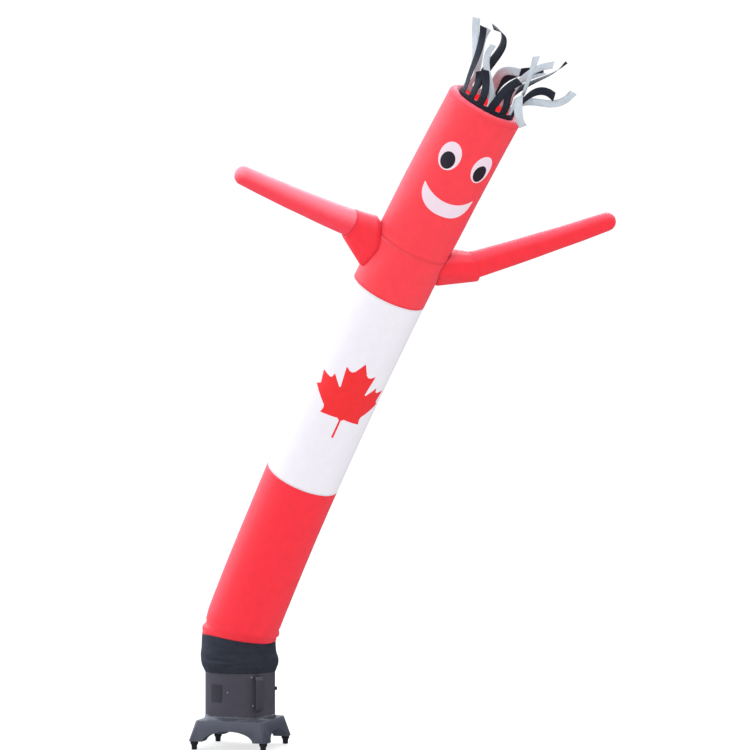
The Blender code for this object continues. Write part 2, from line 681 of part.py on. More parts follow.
def build_side_plate(root):
    """The thin dark upright plate, bent to the barrel."""
    mesh = bpy.data.meshes.new("side_plate")
    work = bmesh.new()
    bmesh.ops.create_grid(work, x_segments=6, y_segments=2, size=0.5)
    for vertex in work.verts:
        angle = PLATE_FROM + (vertex.co.x + 0.5) * (PLATE_TO - PLATE_FROM)
        height = PLATE_BOTTOM + (vertex.co.y + 0.5) * (PLATE_TOP - PLATE_BOTTOM)
        vertex.co = on_barrel(angle, BARREL_RADIUS + SEAM_GAP, height)
    bmesh.ops.recalc_face_normals(work, faces=work.faces)
    work.to_mesh(mesh)
    work.free()
    part = add_part("side_plate", mesh, PLATE_BLACK, 0.6, root)
    outward = mesh.polygons[0].normal.dot(Vector(mesh.polygons[0].center).xy.to_3d()) > 0.0
    thicken(part, PLATE_THICKNESS, 1.0 if outward else -1.0)


BUTTONS = (
    # name, angle, height, radius, depth, colour, roughness
    ("barrel_screw", -18.0, 0.237, 0.0045, 0.003, SCREW_GREY, 0.4),
    ("side_knob", 88.0, 0.242, 0.008, 0.008, PLATE_BLACK, 0.5),
)


def build_buttons(root):
    """The short round pieces set square on the barrel's side: a screw head and a knob."""
    for name, degrees, height, radius, depth, colour, roughness in BUTTONS:
        angle = math.radians(degrees)
        mesh = bpy.data.meshes.new(name)
        work = bmesh.new()
        bmesh.ops.create_cone(work, cap_ends=True, segments=16, radius1=radius, radius2=radius * 0.85,
                              depth=depth)
        turn = on_barrel(angle, 1.0, 0.0).to_track_quat("Z", "Y").to_matrix().to_4x4()
        seat = on_barrel(angle, BARREL_RADIUS + SEAM_GAP + depth / 2.0, height)
        bmesh.ops.transform(work, matrix=Matrix.Translation(seat) @ turn, verts=work.verts)
        work.to_mesh(mesh)
        work.free()
        add_part(name, mesh, colour, roughness, root)


def centre_on_ground(root):
    """Moves the root so that the bounding box's middle stands over the origin."""
    bpy.context.view_layer.update()
    graph = bpy.context.evaluated_depsgraph_get()
    low, high = Vector((1e9,) * 3), Vector((-1e9,) * 3)
    for part in bpy.data.collections[PARTS].objects:
        if part.type != "MESH":
            continue
        shape = part.evaluated_get(graph).to_mesh()
        for vertex in shape.vertices:
            spot = part.matrix_world @ vertex.co
            low = Vector(map(min, low, spot))
            high = Vector(map(max, high, spot))
    middle = (low + high) / 2.0
    root.location = (-middle.x, -middle.y, -low.z)


def main():
    clear_scene()
    new_collection(PARTS)
    new_collection(CUTTERS)
    root = bpy.data.objects.new("air_dancer", None)
    bpy.data.collections[PARTS].objects.link(root)
    torso = build_tube(root)
    build_crown(root)
    build_fringe("hair_black", BLACK_STREAMERS, BLACK_STRIP_RADIUS, BLACK_CLOTH, root)
    build_fringe("hair_grey", GREY_STREAMERS, GREY_STRIP_RADIUS, GREY_CLOTH, root)
    for side, root_angle, cuff_low, cuff_high, skew, out, lift, right, front, up, length in ARMS:
        direction = Vector((right, -front, up)).normalized()
        build_arm(side, root_angle, out, lift, direction, length, root)
        build_cuff(side, root_angle, cuff_low, cuff_high, skew, out, lift, direction, root)
        cut_air_hole(side, root_angle, torso)
    build_collar(root)
    build_barrel(root)
    build_base(root)
    build_feet(root)
    build_handle(root)
    build_side_plate(root)
    build_buttons(root)
    for cutter in bpy.data.collections[CUTTERS].objects:
        cutter.parent = root
    centre_on_ground(root)
    bpy.context.view_layer.update()


main()
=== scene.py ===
"""Inflatable air dancer, dressed: cloth, printed face and leaf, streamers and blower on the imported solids.

Metres, +Z up. The dancer faces -Y, leans to +X and towards -Y, and stands on Z = 0.
"""
import math

import bmesh
import bpy
import numpy as np
from mathutils import Matrix, Vector, noise
from mathutils.geometry import delaunay_2d_cdt


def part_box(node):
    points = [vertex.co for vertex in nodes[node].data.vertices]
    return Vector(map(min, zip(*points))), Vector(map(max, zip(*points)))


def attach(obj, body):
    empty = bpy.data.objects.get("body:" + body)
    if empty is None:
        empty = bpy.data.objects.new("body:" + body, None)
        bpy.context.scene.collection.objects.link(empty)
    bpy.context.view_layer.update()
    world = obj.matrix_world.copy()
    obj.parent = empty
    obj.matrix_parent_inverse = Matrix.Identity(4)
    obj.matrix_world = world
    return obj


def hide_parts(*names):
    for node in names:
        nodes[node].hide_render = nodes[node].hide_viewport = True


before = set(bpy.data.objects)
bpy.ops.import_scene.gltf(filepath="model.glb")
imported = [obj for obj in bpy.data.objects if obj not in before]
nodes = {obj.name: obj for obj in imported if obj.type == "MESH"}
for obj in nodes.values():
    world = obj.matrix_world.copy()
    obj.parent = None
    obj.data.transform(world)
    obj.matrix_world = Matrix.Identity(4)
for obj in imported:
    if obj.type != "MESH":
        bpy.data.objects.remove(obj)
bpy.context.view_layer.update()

# The studio: a pale floor, even soft light from all round, a broad cool light on the left that
# gives the cloth its long highlights, a soft key light in front and one above and behind for the
# arms' upper sides. Reflections find a bright cool sky above on the left and a dark room below on
# the right, so the sides that lean over keep their full colour.
blower_low, blower_high = (Vector(corner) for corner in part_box("blower_barrel"))
blower_axis = Vector(((blower_low.x + blower_high.x) / 2.0, (blower_low.y + blower_high.y) / 2.0, 0.0))
CAMERA_FROM_BLOWER = Vector((0.5587, -11.5866, 1.3899))
CAMERA_TILT_UP = math.radians(0.744)
CAMERA_LENS, CAMERA_SENSOR = 133.92, 36.0
WORLD_LIGHT = 1.04
SKY_TOWARDS = (-0.42, 0.22, 0.88)
SKY_LIGHT, ROOM_LIGHT = 2.3, 0.06
SKY_EDGE, SKY_FULL = -0.05, 0.9     # where the bright sky begins and where it is full
SKY_TINT = (0.84, 0.92, 1.0)
FLOOR_SIZE, FLOOR_LEVEL = 80.0, -0.0004
FLOOR_GREY, FLOOR_GLOW = 0.35, 0.66

scene = bpy.context.scene
scene.view_settings.view_transform = "Standard"
camera = bpy.data.objects.new("camera", bpy.data.cameras.new("camera"))
scene.collection.objects.link(camera)
camera.data.lens = CAMERA_LENS
camera.data.sensor_width = CAMERA_SENSOR
camera.location = blower_axis + CAMERA_FROM_BLOWER
camera.rotation_euler = (math.pi / 2.0 + CAMERA_TILT_UP, 0.0, 0.0)
scene.camera = camera


def add_node(tree, kind, inputs=None, **settings):
    """A node with its settings; an input that is given a socket is linked, any other is set."""
    node = tree.nodes.new(kind)
    for name, value in settings.items():
        setattr(node, name, value)
    for key, value in (inputs or {}).items():
        if isinstance(value, bpy.types.NodeSocket):
            tree.links.new(value, node.inputs[key])
        else:
            node.inputs[key].default_value = value
    return node


world = bpy.data.worlds.new("studio")
world.use_nodes = True
world.cycles.sampling_method = "NONE"
room = world.node_tree
glossy_ray = add_node(room, "ShaderNodeLightPath").outputs["Is Glossy Ray"]
direction = add_node(room, "ShaderNodeTexCoord").outputs["Generated"]
towards_sky = add_node(room, "ShaderNodeVectorMath", {0: direction, 1: SKY_TOWARDS}, operation="DOT_PRODUCT")
room_fall = add_node(room, "ShaderNodeMapRange", {
    "Value": towards_sky.outputs["Value"], "From Min": SKY_EDGE, "From Max": SKY_FULL,
    "To Min": ROOM_LIGHT, "To Max": SKY_LIGHT}, interpolation_type="SMOOTHSTEP")
room_light = add_node(room, "ShaderNodeMix", {
    "Factor": glossy_ray, "A": WORLD_LIGHT, "B": room_fall.outputs["Result"]})
room_tint = add_node(room, "ShaderNodeMix", {
    "Factor": glossy_ray, "A": (1.0, 1.0, 1.0, 1.0), "B": (*SKY_TINT, 1.0)}, data_type="RGBA")
room.links.new(room_light.outputs["Result"], room.nodes["Background"].inputs["Strength"])
room.links.new(room_tint.outputs["Result"], room.nodes["Background"].inputs["Color"])
scene.world = world


def add_light(name, place, aim, size, power, tint=(1.0, 1.0, 1.0)):
    """A square soft light at a place from the blower's axis, turned to what it lights."""
    light = bpy.data.lights.new(name, "AREA")
    light.size = size
    light.energy = power
    light.color = tint
    holder = bpy.data.objects.new(name, light)
    scene.collection.objects.link(holder)
    holder.location = blower_axis + Vector(place)
    holder.rotation_euler = (Vector(aim) - Vector(place)).to_track_quat("-Z", "Y").to_euler()


add_light("key_light", (-2.0, -7.0, 3.5), (0.4, -0.4, 1.4), 3.0, 70.0)
add_light("side_light", (-5.0, 0.8, 4.0), (0.4, -0.4, 1.6), 5.0, 190.0, SKY_TINT)
add_light("back_light", (1.9, 3.6, 5.6), (0.1, -0.8, 2.1), 2.6, 125.0, SKY_TINT)
add_light("right_light", (6.0, -3.4, 4.2), (0.3, -0.3, 2.1), 3.0, 50.0)


def new_finish(name, settings):
    """A material whose constant values are set on its shader's own sockets."""
    finish = bpy.data.materials.new(name)
    finish.use_nodes = True
    shader = finish.node_tree.nodes["Principled BSDF"]
    for socket, value in settings.items():
        shader.inputs[socket].default_value = value
    return finish, finish.node_tree, shader


floor_mesh = bpy.data.meshes.new("floor")
half_floor = FLOOR_SIZE / 2.0
floor_mesh.from_pydata([(right * half_floor, ahead * half_floor, FLOOR_LEVEL)
                        for right, ahead in ((-1, -1), (1, -1), (1, 1), (-1, 1))], [], [(0, 1, 2, 3)])
floor = bpy.data.objects.new("floor", floor_mesh)
scene.collection.objects.link(floor)
floor.visible_glossy = False
floor_mesh.materials.append(new_finish("pale floor", {
    "Base Color": (FLOOR_GREY, FLOOR_GREY, FLOOR_GREY, 1.0), "Roughness": 0.9,
    "Emission Color": (1.0, 1.0, 1.0, 1.0), "Emission Strength": FLOOR_GLOW})[0])

# The tube: light woven nylon, sewn from four panels into one long sleeve that the air holds round.
# Its centre line leans and bends as the solids do. The cloth is drawn tight, with shallow puckers
# beside each seam, a few long soft waves, and deeper creases where the foot bends over the sleeve.
CLOTH = 0.0012
TUBE_RADIUS = 0.1525
TUBE_ROUND = 2.0 * math.pi * TUBE_RADIUS
COLLAR_TOP, LOWER_TOP, WHITE_TOP, TORSO_TOP, HEAD_TOP = 0.448, 1.124, 1.867, 2.047, 2.562
SEAM_GAP = 0.0003
FOOT_RIGHT, LEAN_RIGHT, BEND_RIGHT = -0.0155, 0.3902, 0.0384
FOOT_FRONT, LEAN_FRONT, BEND_FRONT = 0.0275, 0.3376, 0.0185
KINK_START, KINK_LENGTH = 0.15, 0.095
KINK_SHIFT = np.array((0.0105, 0.0145, 0.0))
# The seam over the sleeve isn't level: degrees from the front, and metres above its height
FOOT_SEAM = ((-180.0, -120.0, -80.0, -40.0, -20.0, 0.0, 16.0, 34.0, 55.0, 80.0, 130.0, 180.0),
             (0.010, 0.010, 0.015, 0.021, 0.0155, 0.008, 0.004, -0.001, -0.004, 0.001, 0.007, 0.010))
FOOT_SEAM_FADE = 0.060
FOOT_SEAM_SOFTENED = (-0.14, -0.07, 0.0, 0.07, 0.14)
TUBE_COLUMNS = 168
ROW_STEP = 0.008                    # height of the cloth's rows of faces
WAVE_DEPTH, WAVE_SIZE = 0.0010, 0.055
FINE_DEPTH, FINE_SIZE = 0.00025, 0.014
PUCKER_DEPTH, PUCKER_REACH, PUCKER_START = 0.0006, 0.016, 0.002
PRINT_CLEARANCE = 0.0022            # no point of the cloth's grid lies this near to a print's edge

RED = (0.85, 0.023, 0.040)
# RED_TOP_LIT: the lighter red that upward-facing red cloth is painted towards, as painted light from above
RED_TOP_LIT = (0.90, 0.15, 0.22)
# Creases: height on the centre line, degrees from the front, depth, half height, half width in
# degrees, and how much the crease climbs in metres per 90 degrees to the right
FOOT_CREASES = (
    (0.474, 85.0, -0.009, 0.020, 70.0, -0.004),
    (0.505, 105.0, 0.005, 0.022, 55.0, 0.000),
    (0.470, -92.0, 0.007, 0.018, 60.0, 0.004),
    (0.490, -85.0, -0.005, 0.011, 50.0, 0.006),
    (0.470, 15.0, 0.003, 0.020, 60.0, 0.004),
    (0.488, 40.0, -0.002, 0.008, 50.0, 0.016),
    (0.512, -40.0, -0.002, 0.010, 45.0, -0.014),
    (0.540, 95.0, -0.002, 0.012, 35.0, -0.010),
)


def smooth_step(value):
    value = np.clip(value, 0.0, 1.0)
    return value * value * (3.0 - 2.0 * value)


def tube_frames(height):
    """Centres of the tube at some heights, with its across, front and axis directions."""
    height = np.atleast_1d(np.asarray(height, float))
    rise = height - COLLAR_TOP
    turned = KINK_START + (1.0 - KINK_START) * np.clip(rise / KINK_LENGTH, 0.0, 1.0)
    centre = np.stack((blower_axis.x + FOOT_RIGHT + LEAN_RIGHT * rise + BEND_RIGHT * rise ** 2,
                       blower_axis.y - FOOT_FRONT - LEAN_FRONT * rise - BEND_FRONT * rise ** 2,
                       height), axis=-1)
    centre += (1.0 - smooth_step(rise / KINK_LENGTH))[:, None] * KINK_SHIFT
    lean = np.stack((LEAN_RIGHT + 2.0 * BEND_RIGHT * rise, -LEAN_FRONT - 2.0 * BEND_FRONT * rise,
                     np.ones_like(rise)), axis=-1)
    lean /= np.linalg.norm(lean, axis=-1, keepdims=True)
    axis = np.array((0.0, 0.0, 1.0)) * (1.0 - turned)[:, None] + lean * turned[:, None]
    axis /= np.linalg.norm(axis, axis=-1, keepdims=True)
    across = np.stack((axis[:, 2], np.zeros_like(rise), -axis[:, 0]), axis=-1)
    across /= np.linalg.norm(across, axis=-1, keepdims=True)
    return centre, across, np.cross(across, axis), axis


def tube_points(height, angle, radius):
    """Points around the tube: angles from its front, positive to the right."""
    centre, across, front, _ = tube_frames(height)
    return centre + np.atleast_1d(radius)[:, None] * (np.sin(angle)[:, None] * across
                                                      + np.cos(angle)[:, None] * front)


def foot_seam_rise(angle, share):
    """How far the seam between sleeve and tube is pulled up round the tube, fading with share."""
    turned = np.radians(FOOT_SEAM[0])
    rise = sum(np.interp((angle + shift + math.pi) % (2.0 * math.pi) - math.pi, turned, FOOT_SEAM[1])
               for shift in FOOT_SEAM_SOFTENED) / len(FOOT_SEAM_SOFTENED)
    return np.stack((np.zeros_like(rise), np.zeros_like(rise), rise * share), axis=-1)


def crease_depth(creases, height, angle):
    """How far the creases press the cloth in or push it out, as soft uneven troughs."""
    depth = np.zeros_like(height)
    for level, turn, amount, half_height, half_width, slant in creases:
        beside = (np.degrees(angle) - turn + 180.0) % 360.0 - 180.0
        above = height - level - slant * beside / 90.0 - 0.0025 * np.sin(beside * 0.11 + level * 40.0)
        along = np.clip(1.0 - (above / half_height) ** 2, 0.0, 1.0) ** 2
        across = np.clip(1.0 - (beside / half_width) ** 2, 0.0, 1.0) ** 2
        depth += amount * along * across
    return depth


def soft_noise(first, second, third, size, seed):
    """Smooth noise from -1 to 1 over points given by three coordinates."""
    shift = Vector((seed * 7.3, seed * 3.1, seed * 5.7))
    return np.array([noise.noise(Vector(point) / size + shift) for point in zip(first, second, third)])


def tube_wrinkles(height, angle, seams):
    """Slight unevenness of the tight cloth, with puckers that die away from each seam."""
    right, ahead = TUBE_RADIUS * np.sin(angle), TUBE_RADIUS * np.cos(angle)
    waves = WAVE_DEPTH * soft_noise(right, ahead, height * 0.35, WAVE_SIZE, 1)
    fine = soft_noise(right, ahead, height * 0.5, FINE_SIZE, 2)
    pucker = np.zeros_like(height)
    for seam in seams:
        near = np.abs(height - seam)
        pucker += PUCKER_DEPTH * np.exp(-near / PUCKER_REACH) * (1.0 - np.exp(-near / PUCKER_START))
    return waves + pucker * (fine + 0.4) + FINE_DEPTH * fine


def tube_surface(height, angle, creases, seams, lift=0.0):
    """Points of the cloth round the tube, or lifted off it, with its creases and wrinkles."""
    radius = TUBE_RADIUS + crease_depth(creases, height, angle) + tube_wrinkles(height, angle, seams)
    points = tube_points(height, angle, radius + lift)
    return points + foot_seam_rise(angle, 1.0 - smooth_step((height - COLLAR_TOP) / FOOT_SEAM_FADE))


def full_turn(columns):
    return np.linspace(-math.pi, math.pi, columns, endpoint=False)


def cloth_mesh(name, points, width, length, closed=True):
    """A grid of points as a cloth, with a UV map in metres; closed joins the last column to the first."""
    rows, columns = points.shape[0], points.shape[1]
    across = columns if closed else columns - 1
    faces, places = [], []
    for row in range(rows - 1):
        for column in range(across):
            onward = (column + 1) % columns
            faces.append((row * columns + column, row * columns + onward,
                          (row + 1) * columns + onward, (row + 1) * columns + column))
            left, right = width * column / across, width * (column + 1) / across
            low, high = length * row / (rows - 1), length * (row + 1) / (rows - 1)
            places += [(left, low), (right, low), (right, high), (left, high)]
    mesh = bpy.data.meshes.new(name)
    mesh.from_pydata(points.reshape(-1, 3).tolist(), [], faces)
    uv_map = mesh.uv_layers.new(name="cloth")
    uv_map.data.foreach_set("uv", np.array(places, np.float32).ravel())
    return mesh


def new_group(name, values, results):
    """A shader group with named values in and out; gives the group and the sockets of its two ends."""
    group = bpy.data.node_groups.new(name, "ShaderNodeTree")
    for socket, value in values.items():
        made = group.interface.new_socket(socket, in_out="INPUT", socket_type="NodeSocketFloat")
        made.default_value = value
    for socket in results:
        group.interface.new_socket(socket, in_out="OUTPUT", socket_type="NodeSocketFloat")
    given, put_out = group.nodes.new("NodeGroupInput"), group.nodes.new("NodeGroupOutput")
    return group, given.outputs, put_out.inputs


def worked_out(tree, operation, *values):
    """The result of a calculation on sockets."""
    return add_node(tree, "ShaderNodeMath", dict(enumerate(values)), operation=operation).outputs[0]


def mixed(tree, factor, first, second):
    """Two colours mixed by a factor; either may be a socket."""
    first, second = (colour if isinstance(colour, bpy.types.NodeSocket) else (*colour, 1.0)
                     for colour in (first, second))
    mix = add_node(tree, "ShaderNodeMix", {"Factor": factor, "A": first, "B": second}, data_type="RGBA")
    return mix.outputs["Result"]


def bumped(tree, height, strength, distance):
    bump = add_node(tree, "ShaderNodeBump", {"Height": height, "Strength": strength, "Distance": distance})
    return bump.outputs["Normal"]


# Plain weave and slight crumple over a cloth's UV map in metres, and painted light on its upper side: the
# colour is painted lighter the more the cloth faces up
weave, given, put_out = new_group("woven cloth", {
    "Threads per metre": 2400.0, "Weave depth": 0.4, "Crumple size": 26.0, "Crumple depth": 0.5,
    "Top light share": 0.0, "Top light from": -0.05}, ("Height", "Shade", "Painted top light"))
on_cloth = add_node(weave, "ShaderNodeUVMap", uv_map="cloth").outputs["UV"]
thread_ways = add_node(weave, "ShaderNodeSeparateXYZ", {"Vector": on_cloth}).outputs
thread_count = given["Threads per metre"]
threads = [worked_out(weave, "SINE", worked_out(weave, "MULTIPLY", thread_ways[way], thread_count))
           for way in ("X", "Y")]
deep_weave = worked_out(weave, "MULTIPLY", worked_out(weave, "MULTIPLY", *threads), given["Weave depth"])
crumple = add_node(weave, "ShaderNodeTexNoise", {
    "Vector": on_cloth, "Scale": given["Crumple size"], "Detail": 3.0, "Distortion": 0.6}).outputs["Fac"]
weave.links.new(worked_out(weave, "MULTIPLY_ADD", crumple, given["Crumple depth"], deep_weave),
                put_out["Height"])
# Painted shade: the colour darkens where the crumple is low, in its hollows
shade = add_node(weave, "ShaderNodeMapRange", {"Value": crumple, "From Min": 0.3, "From Max": 0.7})
weave.links.new(shade.outputs["Result"], put_out["Shade"])
# Painted light: the colour is made lighter the more the cloth faces up, standing in for light from above
facing = add_node(weave, "ShaderNodeNewGeometry").outputs["Normal"]
upwards = add_node(weave, "ShaderNodeSeparateXYZ", {"Vector": facing}).outputs["Z"]
upper = add_node(weave, "ShaderNodeMapRange", {
    "Value": upwards, "From Min": given["Top light from"], "From Max": 0.95}, interpolation_type="SMOOTHSTEP")
weave.links.new(worked_out(weave, "MULTIPLY", upper.outputs["Result"], given["Top light share"]), put_out["Painted top light"])
CLOTH_BUMP, CLOTH_BUMP_DEPTH = 0.35, 0.0012
SHEEN_SPREAD, SHEEN_TINT = 0.4, (0.72, 0.68, 1.0, 1.0)


def cloth_finish(name, colour, dark, top_lit_colour=None, top_light_share=0.0, top_light_from=-0.05, roughness=0.5, sheen=0.10,
                 gloss=0.25):
    """Woven nylon: a colour that darkens in the crumple's hollows as painted shade and is painted lighter on
    its upper side as painted light from above, weave as bump.
    """
    finish, tree, shader = new_finish(name, {
        "Roughness": roughness, "Specular IOR Level": gloss, "Sheen Weight": sheen,
        "Sheen Roughness": SHEEN_SPREAD, "Sheen Tint": SHEEN_TINT})
    woven = add_node(tree, "ShaderNodeGroup", {"Top light share": top_light_share, "Top light from": top_light_from},
                     node_tree=weave).outputs
    # The colour is darker in the crumple's hollows: painted shade
    crumple_shaded = mixed(tree, woven["Shade"], dark, colour)
    tree.links.new(mixed(tree, woven["Painted top light"], crumple_shaded, top_lit_colour or colour), shader.inputs["Base Color"])
    tree.links.new(bumped(tree, woven["Height"], CLOTH_BUMP, CLOTH_BUMP_DEPTH), shader.inputs["Normal"])
    return finish


def shaded(colour, share):
    return tuple(value * share for value in colour)


# The red cloth is painted lighter on its upper side: painted light from above
red_cloth = cloth_finish("red nylon", RED, shaded(RED, 0.93), RED_TOP_LIT, 0.75)


def add_piece(name, mesh, replaced=()):
    """Links a piece; it rides on the body and stands for the nodes it replaces."""
    piece = bpy.data.objects.new(name, mesh)
    scene.collection.objects.link(piece)
    mesh.shade_smooth()
    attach(piece, "root")
    if replaced:
        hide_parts(*replaced)
    return piece


def add_cloth(name, mesh, finishes, node, thickness=CLOTH, offset=-1.0, lining=None):
    """A cloth with its finishes and thickness, which stands for its solid; a lining is its inner side."""
    for finish in list(finishes) + ([lining] * len(finishes) if lining else []):
        mesh.materials.append(finish)
    piece = add_piece(name, mesh, [node])
    solidify = piece.modifiers.new("Cloth thickness", "SOLIDIFY")
    solidify.thickness = thickness
    solidify.offset = offset
    solidify.use_even_offset = False
    if lining:
        solidify.material_offset = len(finishes)
    return piece


def rework(mesh, change):
    """Changes a mesh by a function that is given its editable form."""
    work = bmesh.new()
    work.from_mesh(mesh)
    change(work)
    work.to_mesh(mesh)
    work.free()


def inside(points, outline):
    """Which of the flat points lie inside a closed outline."""
    found = np.zeros(len(points), bool)
    for (left, low), (right, high) in zip(outline, outline[1:] + outline[:1]):
        crosses = (low > points[:, 1]) != (high > points[:, 1])
        if high != low:
            at = (right - left) * (points[:, 1] - low) / (high - low) + left
            found ^= crosses & (points[:, 0] < at)
    return found


def fine_outline(outline, step=0.005):
    """The outline with its long sides divided, so that it bends with the cloth."""
    made = []
    for (left, low), (right, high) in zip(outline, outline[1:] + outline[:1]):
        count = max(1, math.ceil(math.hypot(right - left, high - low) / step))
        made += [(left + (right - left) * share / count, low + (high - low) * share / count)
                 for share in range(count)]
    return made


def tube_panel(name, bottom, top, creases, prints):
    """One panel between two seams. Prints are (finish index, outline) pairs on the unrolled cloth."""
    low, high = bottom + SEAM_GAP / 2.0, top - SEAM_GAP / 2.0
    rows = math.ceil((high - low) / ROW_STEP)
    beside = np.linspace(-TUBE_ROUND / 2.0, TUBE_ROUND / 2.0, TUBE_COLUMNS + 1)
    flat = np.array([(right, up) for up in np.linspace(low, high, rows + 1) for right in beside])
    lines, outlines = [], []
    for index, outline in prints:
        outline = fine_outline(outline)
        near = np.array([np.hypot(*(flat - corner).T) < PRINT_CLEARANCE for corner in outline]).any(axis=0)
        edge = (flat[:, 1] < low + 1e-6) | (flat[:, 1] > high - 1e-6)
        flat = flat[~near | edge]
        outlines.append((index, outline))
    count = len(flat)
    for _, outline in outlines:
        lines += [(count + corner, count + (corner + 1) % len(outline)) for corner in range(len(outline))]
        flat = np.vstack((flat, outline))
        count += len(outline)
    made = delaunay_2d_cdt([Vector(point) for point in flat], lines, [], 0, 1e-6)
    flat = np.array([tuple(point) for point in made[0]])
    points = tube_surface(flat[:, 1], flat[:, 0] / TUBE_RADIUS, creases, (bottom, top))
    mesh = bpy.data.meshes.new(name)
    faces = [tuple(face) for face in made[2]]
    mesh.from_pydata(points.tolist(), [], faces)
    corners = np.array(faces)
    middles = flat[corners].mean(axis=1)
    finish = np.zeros(len(faces), int)
    for index, outline in outlines:
        finish[inside(middles, outline)] = index
    mesh.polygons.foreach_set("material_index", finish)
    uv_map = mesh.uv_layers.new(name="cloth")
    uv_map.data.foreach_set("uv", flat[corners].reshape(-1, 2).astype(np.float32).ravel())
    rework(mesh, lambda work: bmesh.ops.remove_doubles(work, verts=work.verts, dist=0.00002))
    return mesh


def centre_line_length(bottom, top):
    centre = tube_frames(np.linspace(bottom, top, 60))[0]
    return float(np.linalg.norm(np.diff(centre, axis=0), axis=1).sum())


def add_panel(name, node, bottom, top, creases, finishes, prints=(), lining=None):
    """One panel of the tube, sewn between two seams."""
    piece = add_cloth(name, tube_panel(name, bottom, top, creases, prints), finishes, node, lining=lining)
    flat = (TUBE_ROUND, centre_line_length(bottom, top))


add_panel("lower_cloth", "lower_panel", COLLAR_TOP, LOWER_TOP, FOOT_CREASES, [red_cloth])

# The torso panel: red nylon like the rest. The cuffs pull a crease across its top seam and short
# creases beside their edges. The solid's round air hole behind each cuff isn't cut in this cloth,
# which runs on behind the cuffs.
UPPER_RED = (0.86, 0.044, 0.062)
ARM_CREASES = (
    (2.072, -15.0, -0.0045, 0.012, 42.0, -0.006),
    (2.030, 35.0, -0.0035, 0.014, 30.0, 0.008),
    (2.066, 78.0, -0.0040, 0.012, 26.0, 0.010),
    (1.985, -40.0, -0.0018, 0.030, 14.0, 0.030),
    (1.935, 78.0, -0.0022, 0.022, 18.0, -0.020),
    (2.100, -62.0, -0.0020, 0.020, 14.0, 0.030),
)
# The upper red cloth is also painted lighter on its upper side: painted light from above
upper_red_cloth = cloth_finish("upper red nylon", UPPER_RED, shaded(UPPER_RED, 0.93), RED_TOP_LIT, 0.75)
add_panel("torso_cloth", "torso_panel", WHITE_TOP, TORSO_TOP, ARM_CREASES, [upper_red_cloth])

# The white band: white nylon with the leaf of a country's flag printed on it. The leaf is charted as one
# half, in shares of its height from the foot of its stalk, and mirrored.
WHITE = (0.745, 0.72, 0.775)
FRONT_TURN = math.radians(17.3)     # the face and the leaf are turned this far to the right
LEAF_HEIGHT = 0.340
LEAF_FOOT = 1.3457                  # height of the stalk's foot on the centre line
LEAF_HALF = (
    (0.013, 0.000), (0.012, 0.235), (0.040, 0.258), (0.258, 0.236), (0.241, 0.300), (0.250, 0.335),
    (0.463, 0.510), (0.410, 0.540), (0.410, 0.565), (0.448, 0.700), (0.345, 0.676), (0.318, 0.672),
    (0.302, 0.684), (0.285, 0.738), (0.192, 0.640), (0.172, 0.618), (0.157, 0.628), (0.163, 0.670),
    (0.192, 0.882), (0.135, 0.848), (0.104, 0.846), (0.074, 0.868), (0.000, 1.000),
)
leaf_slope = float(tube_frames(1.5)[3][0, 2])
leaf_middle = FRONT_TURN * TUBE_RADIUS
half_leaf = [(leaf_middle + right * LEAF_HEIGHT, LEAF_FOOT + up * LEAF_HEIGHT * leaf_slope)
             for right, up in LEAF_HALF]
leaf = half_leaf + [(2.0 * leaf_middle - right, up) for right, up in reversed(half_leaf[:-1])]
white_cloth = cloth_finish("white nylon", WHITE, shaded(WHITE, 0.97), sheen=0.05)
leaf_print = cloth_finish("red print", (0.80, 0.020, 0.024), (0.75, 0.018, 0.022), sheen=0.03)
add_panel("white_cloth", "white_panel", LOWER_TOP, WHITE_TOP, (), [white_cloth, leaf_print],
          ((1, leaf),))

# The head: red nylon with a printed face of two upright oval eyes, their pupils low, and a broad
# crescent smile. Places are metres right of the face's middle line and up along the tube.
PRINT_WHITE = (0.76, 0.62, 0.70)
PRINT_BLACK = (0.022, 0.015, 0.026)
HEAD_CREASES = (
    (2.530, 20.0, -0.0016, 0.020, 9.0, 0.050),
    (2.520, 38.0, -0.0018, 0.026, 8.0, 0.060),
    (2.532, 62.0, -0.0014, 0.020, 8.0, 0.050),
    (2.528, -30.0, -0.0012, 0.018, 9.0, -0.040),
)
FACE_FOOT = 2.25                    # height on the centre line that the face is measured from
EYE_APART, EYE_UP = 0.0727, 0.182
EYE_HALF = (0.0445, 0.0580)
PUPIL_UP, PUPIL_HALF = 0.164, (0.0292, 0.0352)
SMILE_HALF, SMILE_CORNER = 0.1150, 0.0465
SMILE_LOW, SMILE_LIP = -0.0490, 0.0092
face_slope = float(tube_frames(2.35)[3][0, 2])
face_middle = FRONT_TURN * TUBE_RADIUS


def on_face(right, up):
    return face_middle + right, FACE_FOOT + up * face_slope


def oval(right, up, half):
    steps = 72
    turns = [2.0 * math.pi * step / steps for step in range(steps)]
    return [on_face(right + half[0] * math.cos(turn), up + half[1] * math.sin(turn)) for turn in turns]


def smile():
    """The lower edge is a full round bow, the upper one a shallow one between the same corners."""
    shares = [math.sin(math.pi / 2.0 * step / 24) for step in range(-24, 25)]
    depth = SMILE_CORNER - SMILE_LOW
    lower = [(share * SMILE_HALF, SMILE_CORNER - depth * (1.0 - abs(share) ** 2.3) ** (1.0 / 2.3))
             for share in shares]
    upper = [(share * SMILE_HALF * 0.985, SMILE_LIP + (SMILE_CORNER - SMILE_LIP) * abs(share) ** 2.1)
             for share in reversed(shares[1:-1])]
    return [on_face(right, up) for right, up in lower + upper]


face = [(1, oval(side * EYE_APART, EYE_UP, EYE_HALF)) for side in (-1, 1)]
face += [(2, oval(side * EYE_APART, PUPIL_UP, PUPIL_HALF)) for side in (-1, 1)]
face.append((1, smile()))
white_print = cloth_finish("white print", PRINT_WHITE, shaded(PRINT_WHITE, 0.96), sheen=0.05)
black_print = cloth_finish("black print", PRINT_BLACK, shaded(PRINT_BLACK, 0.85), sheen=0.05)
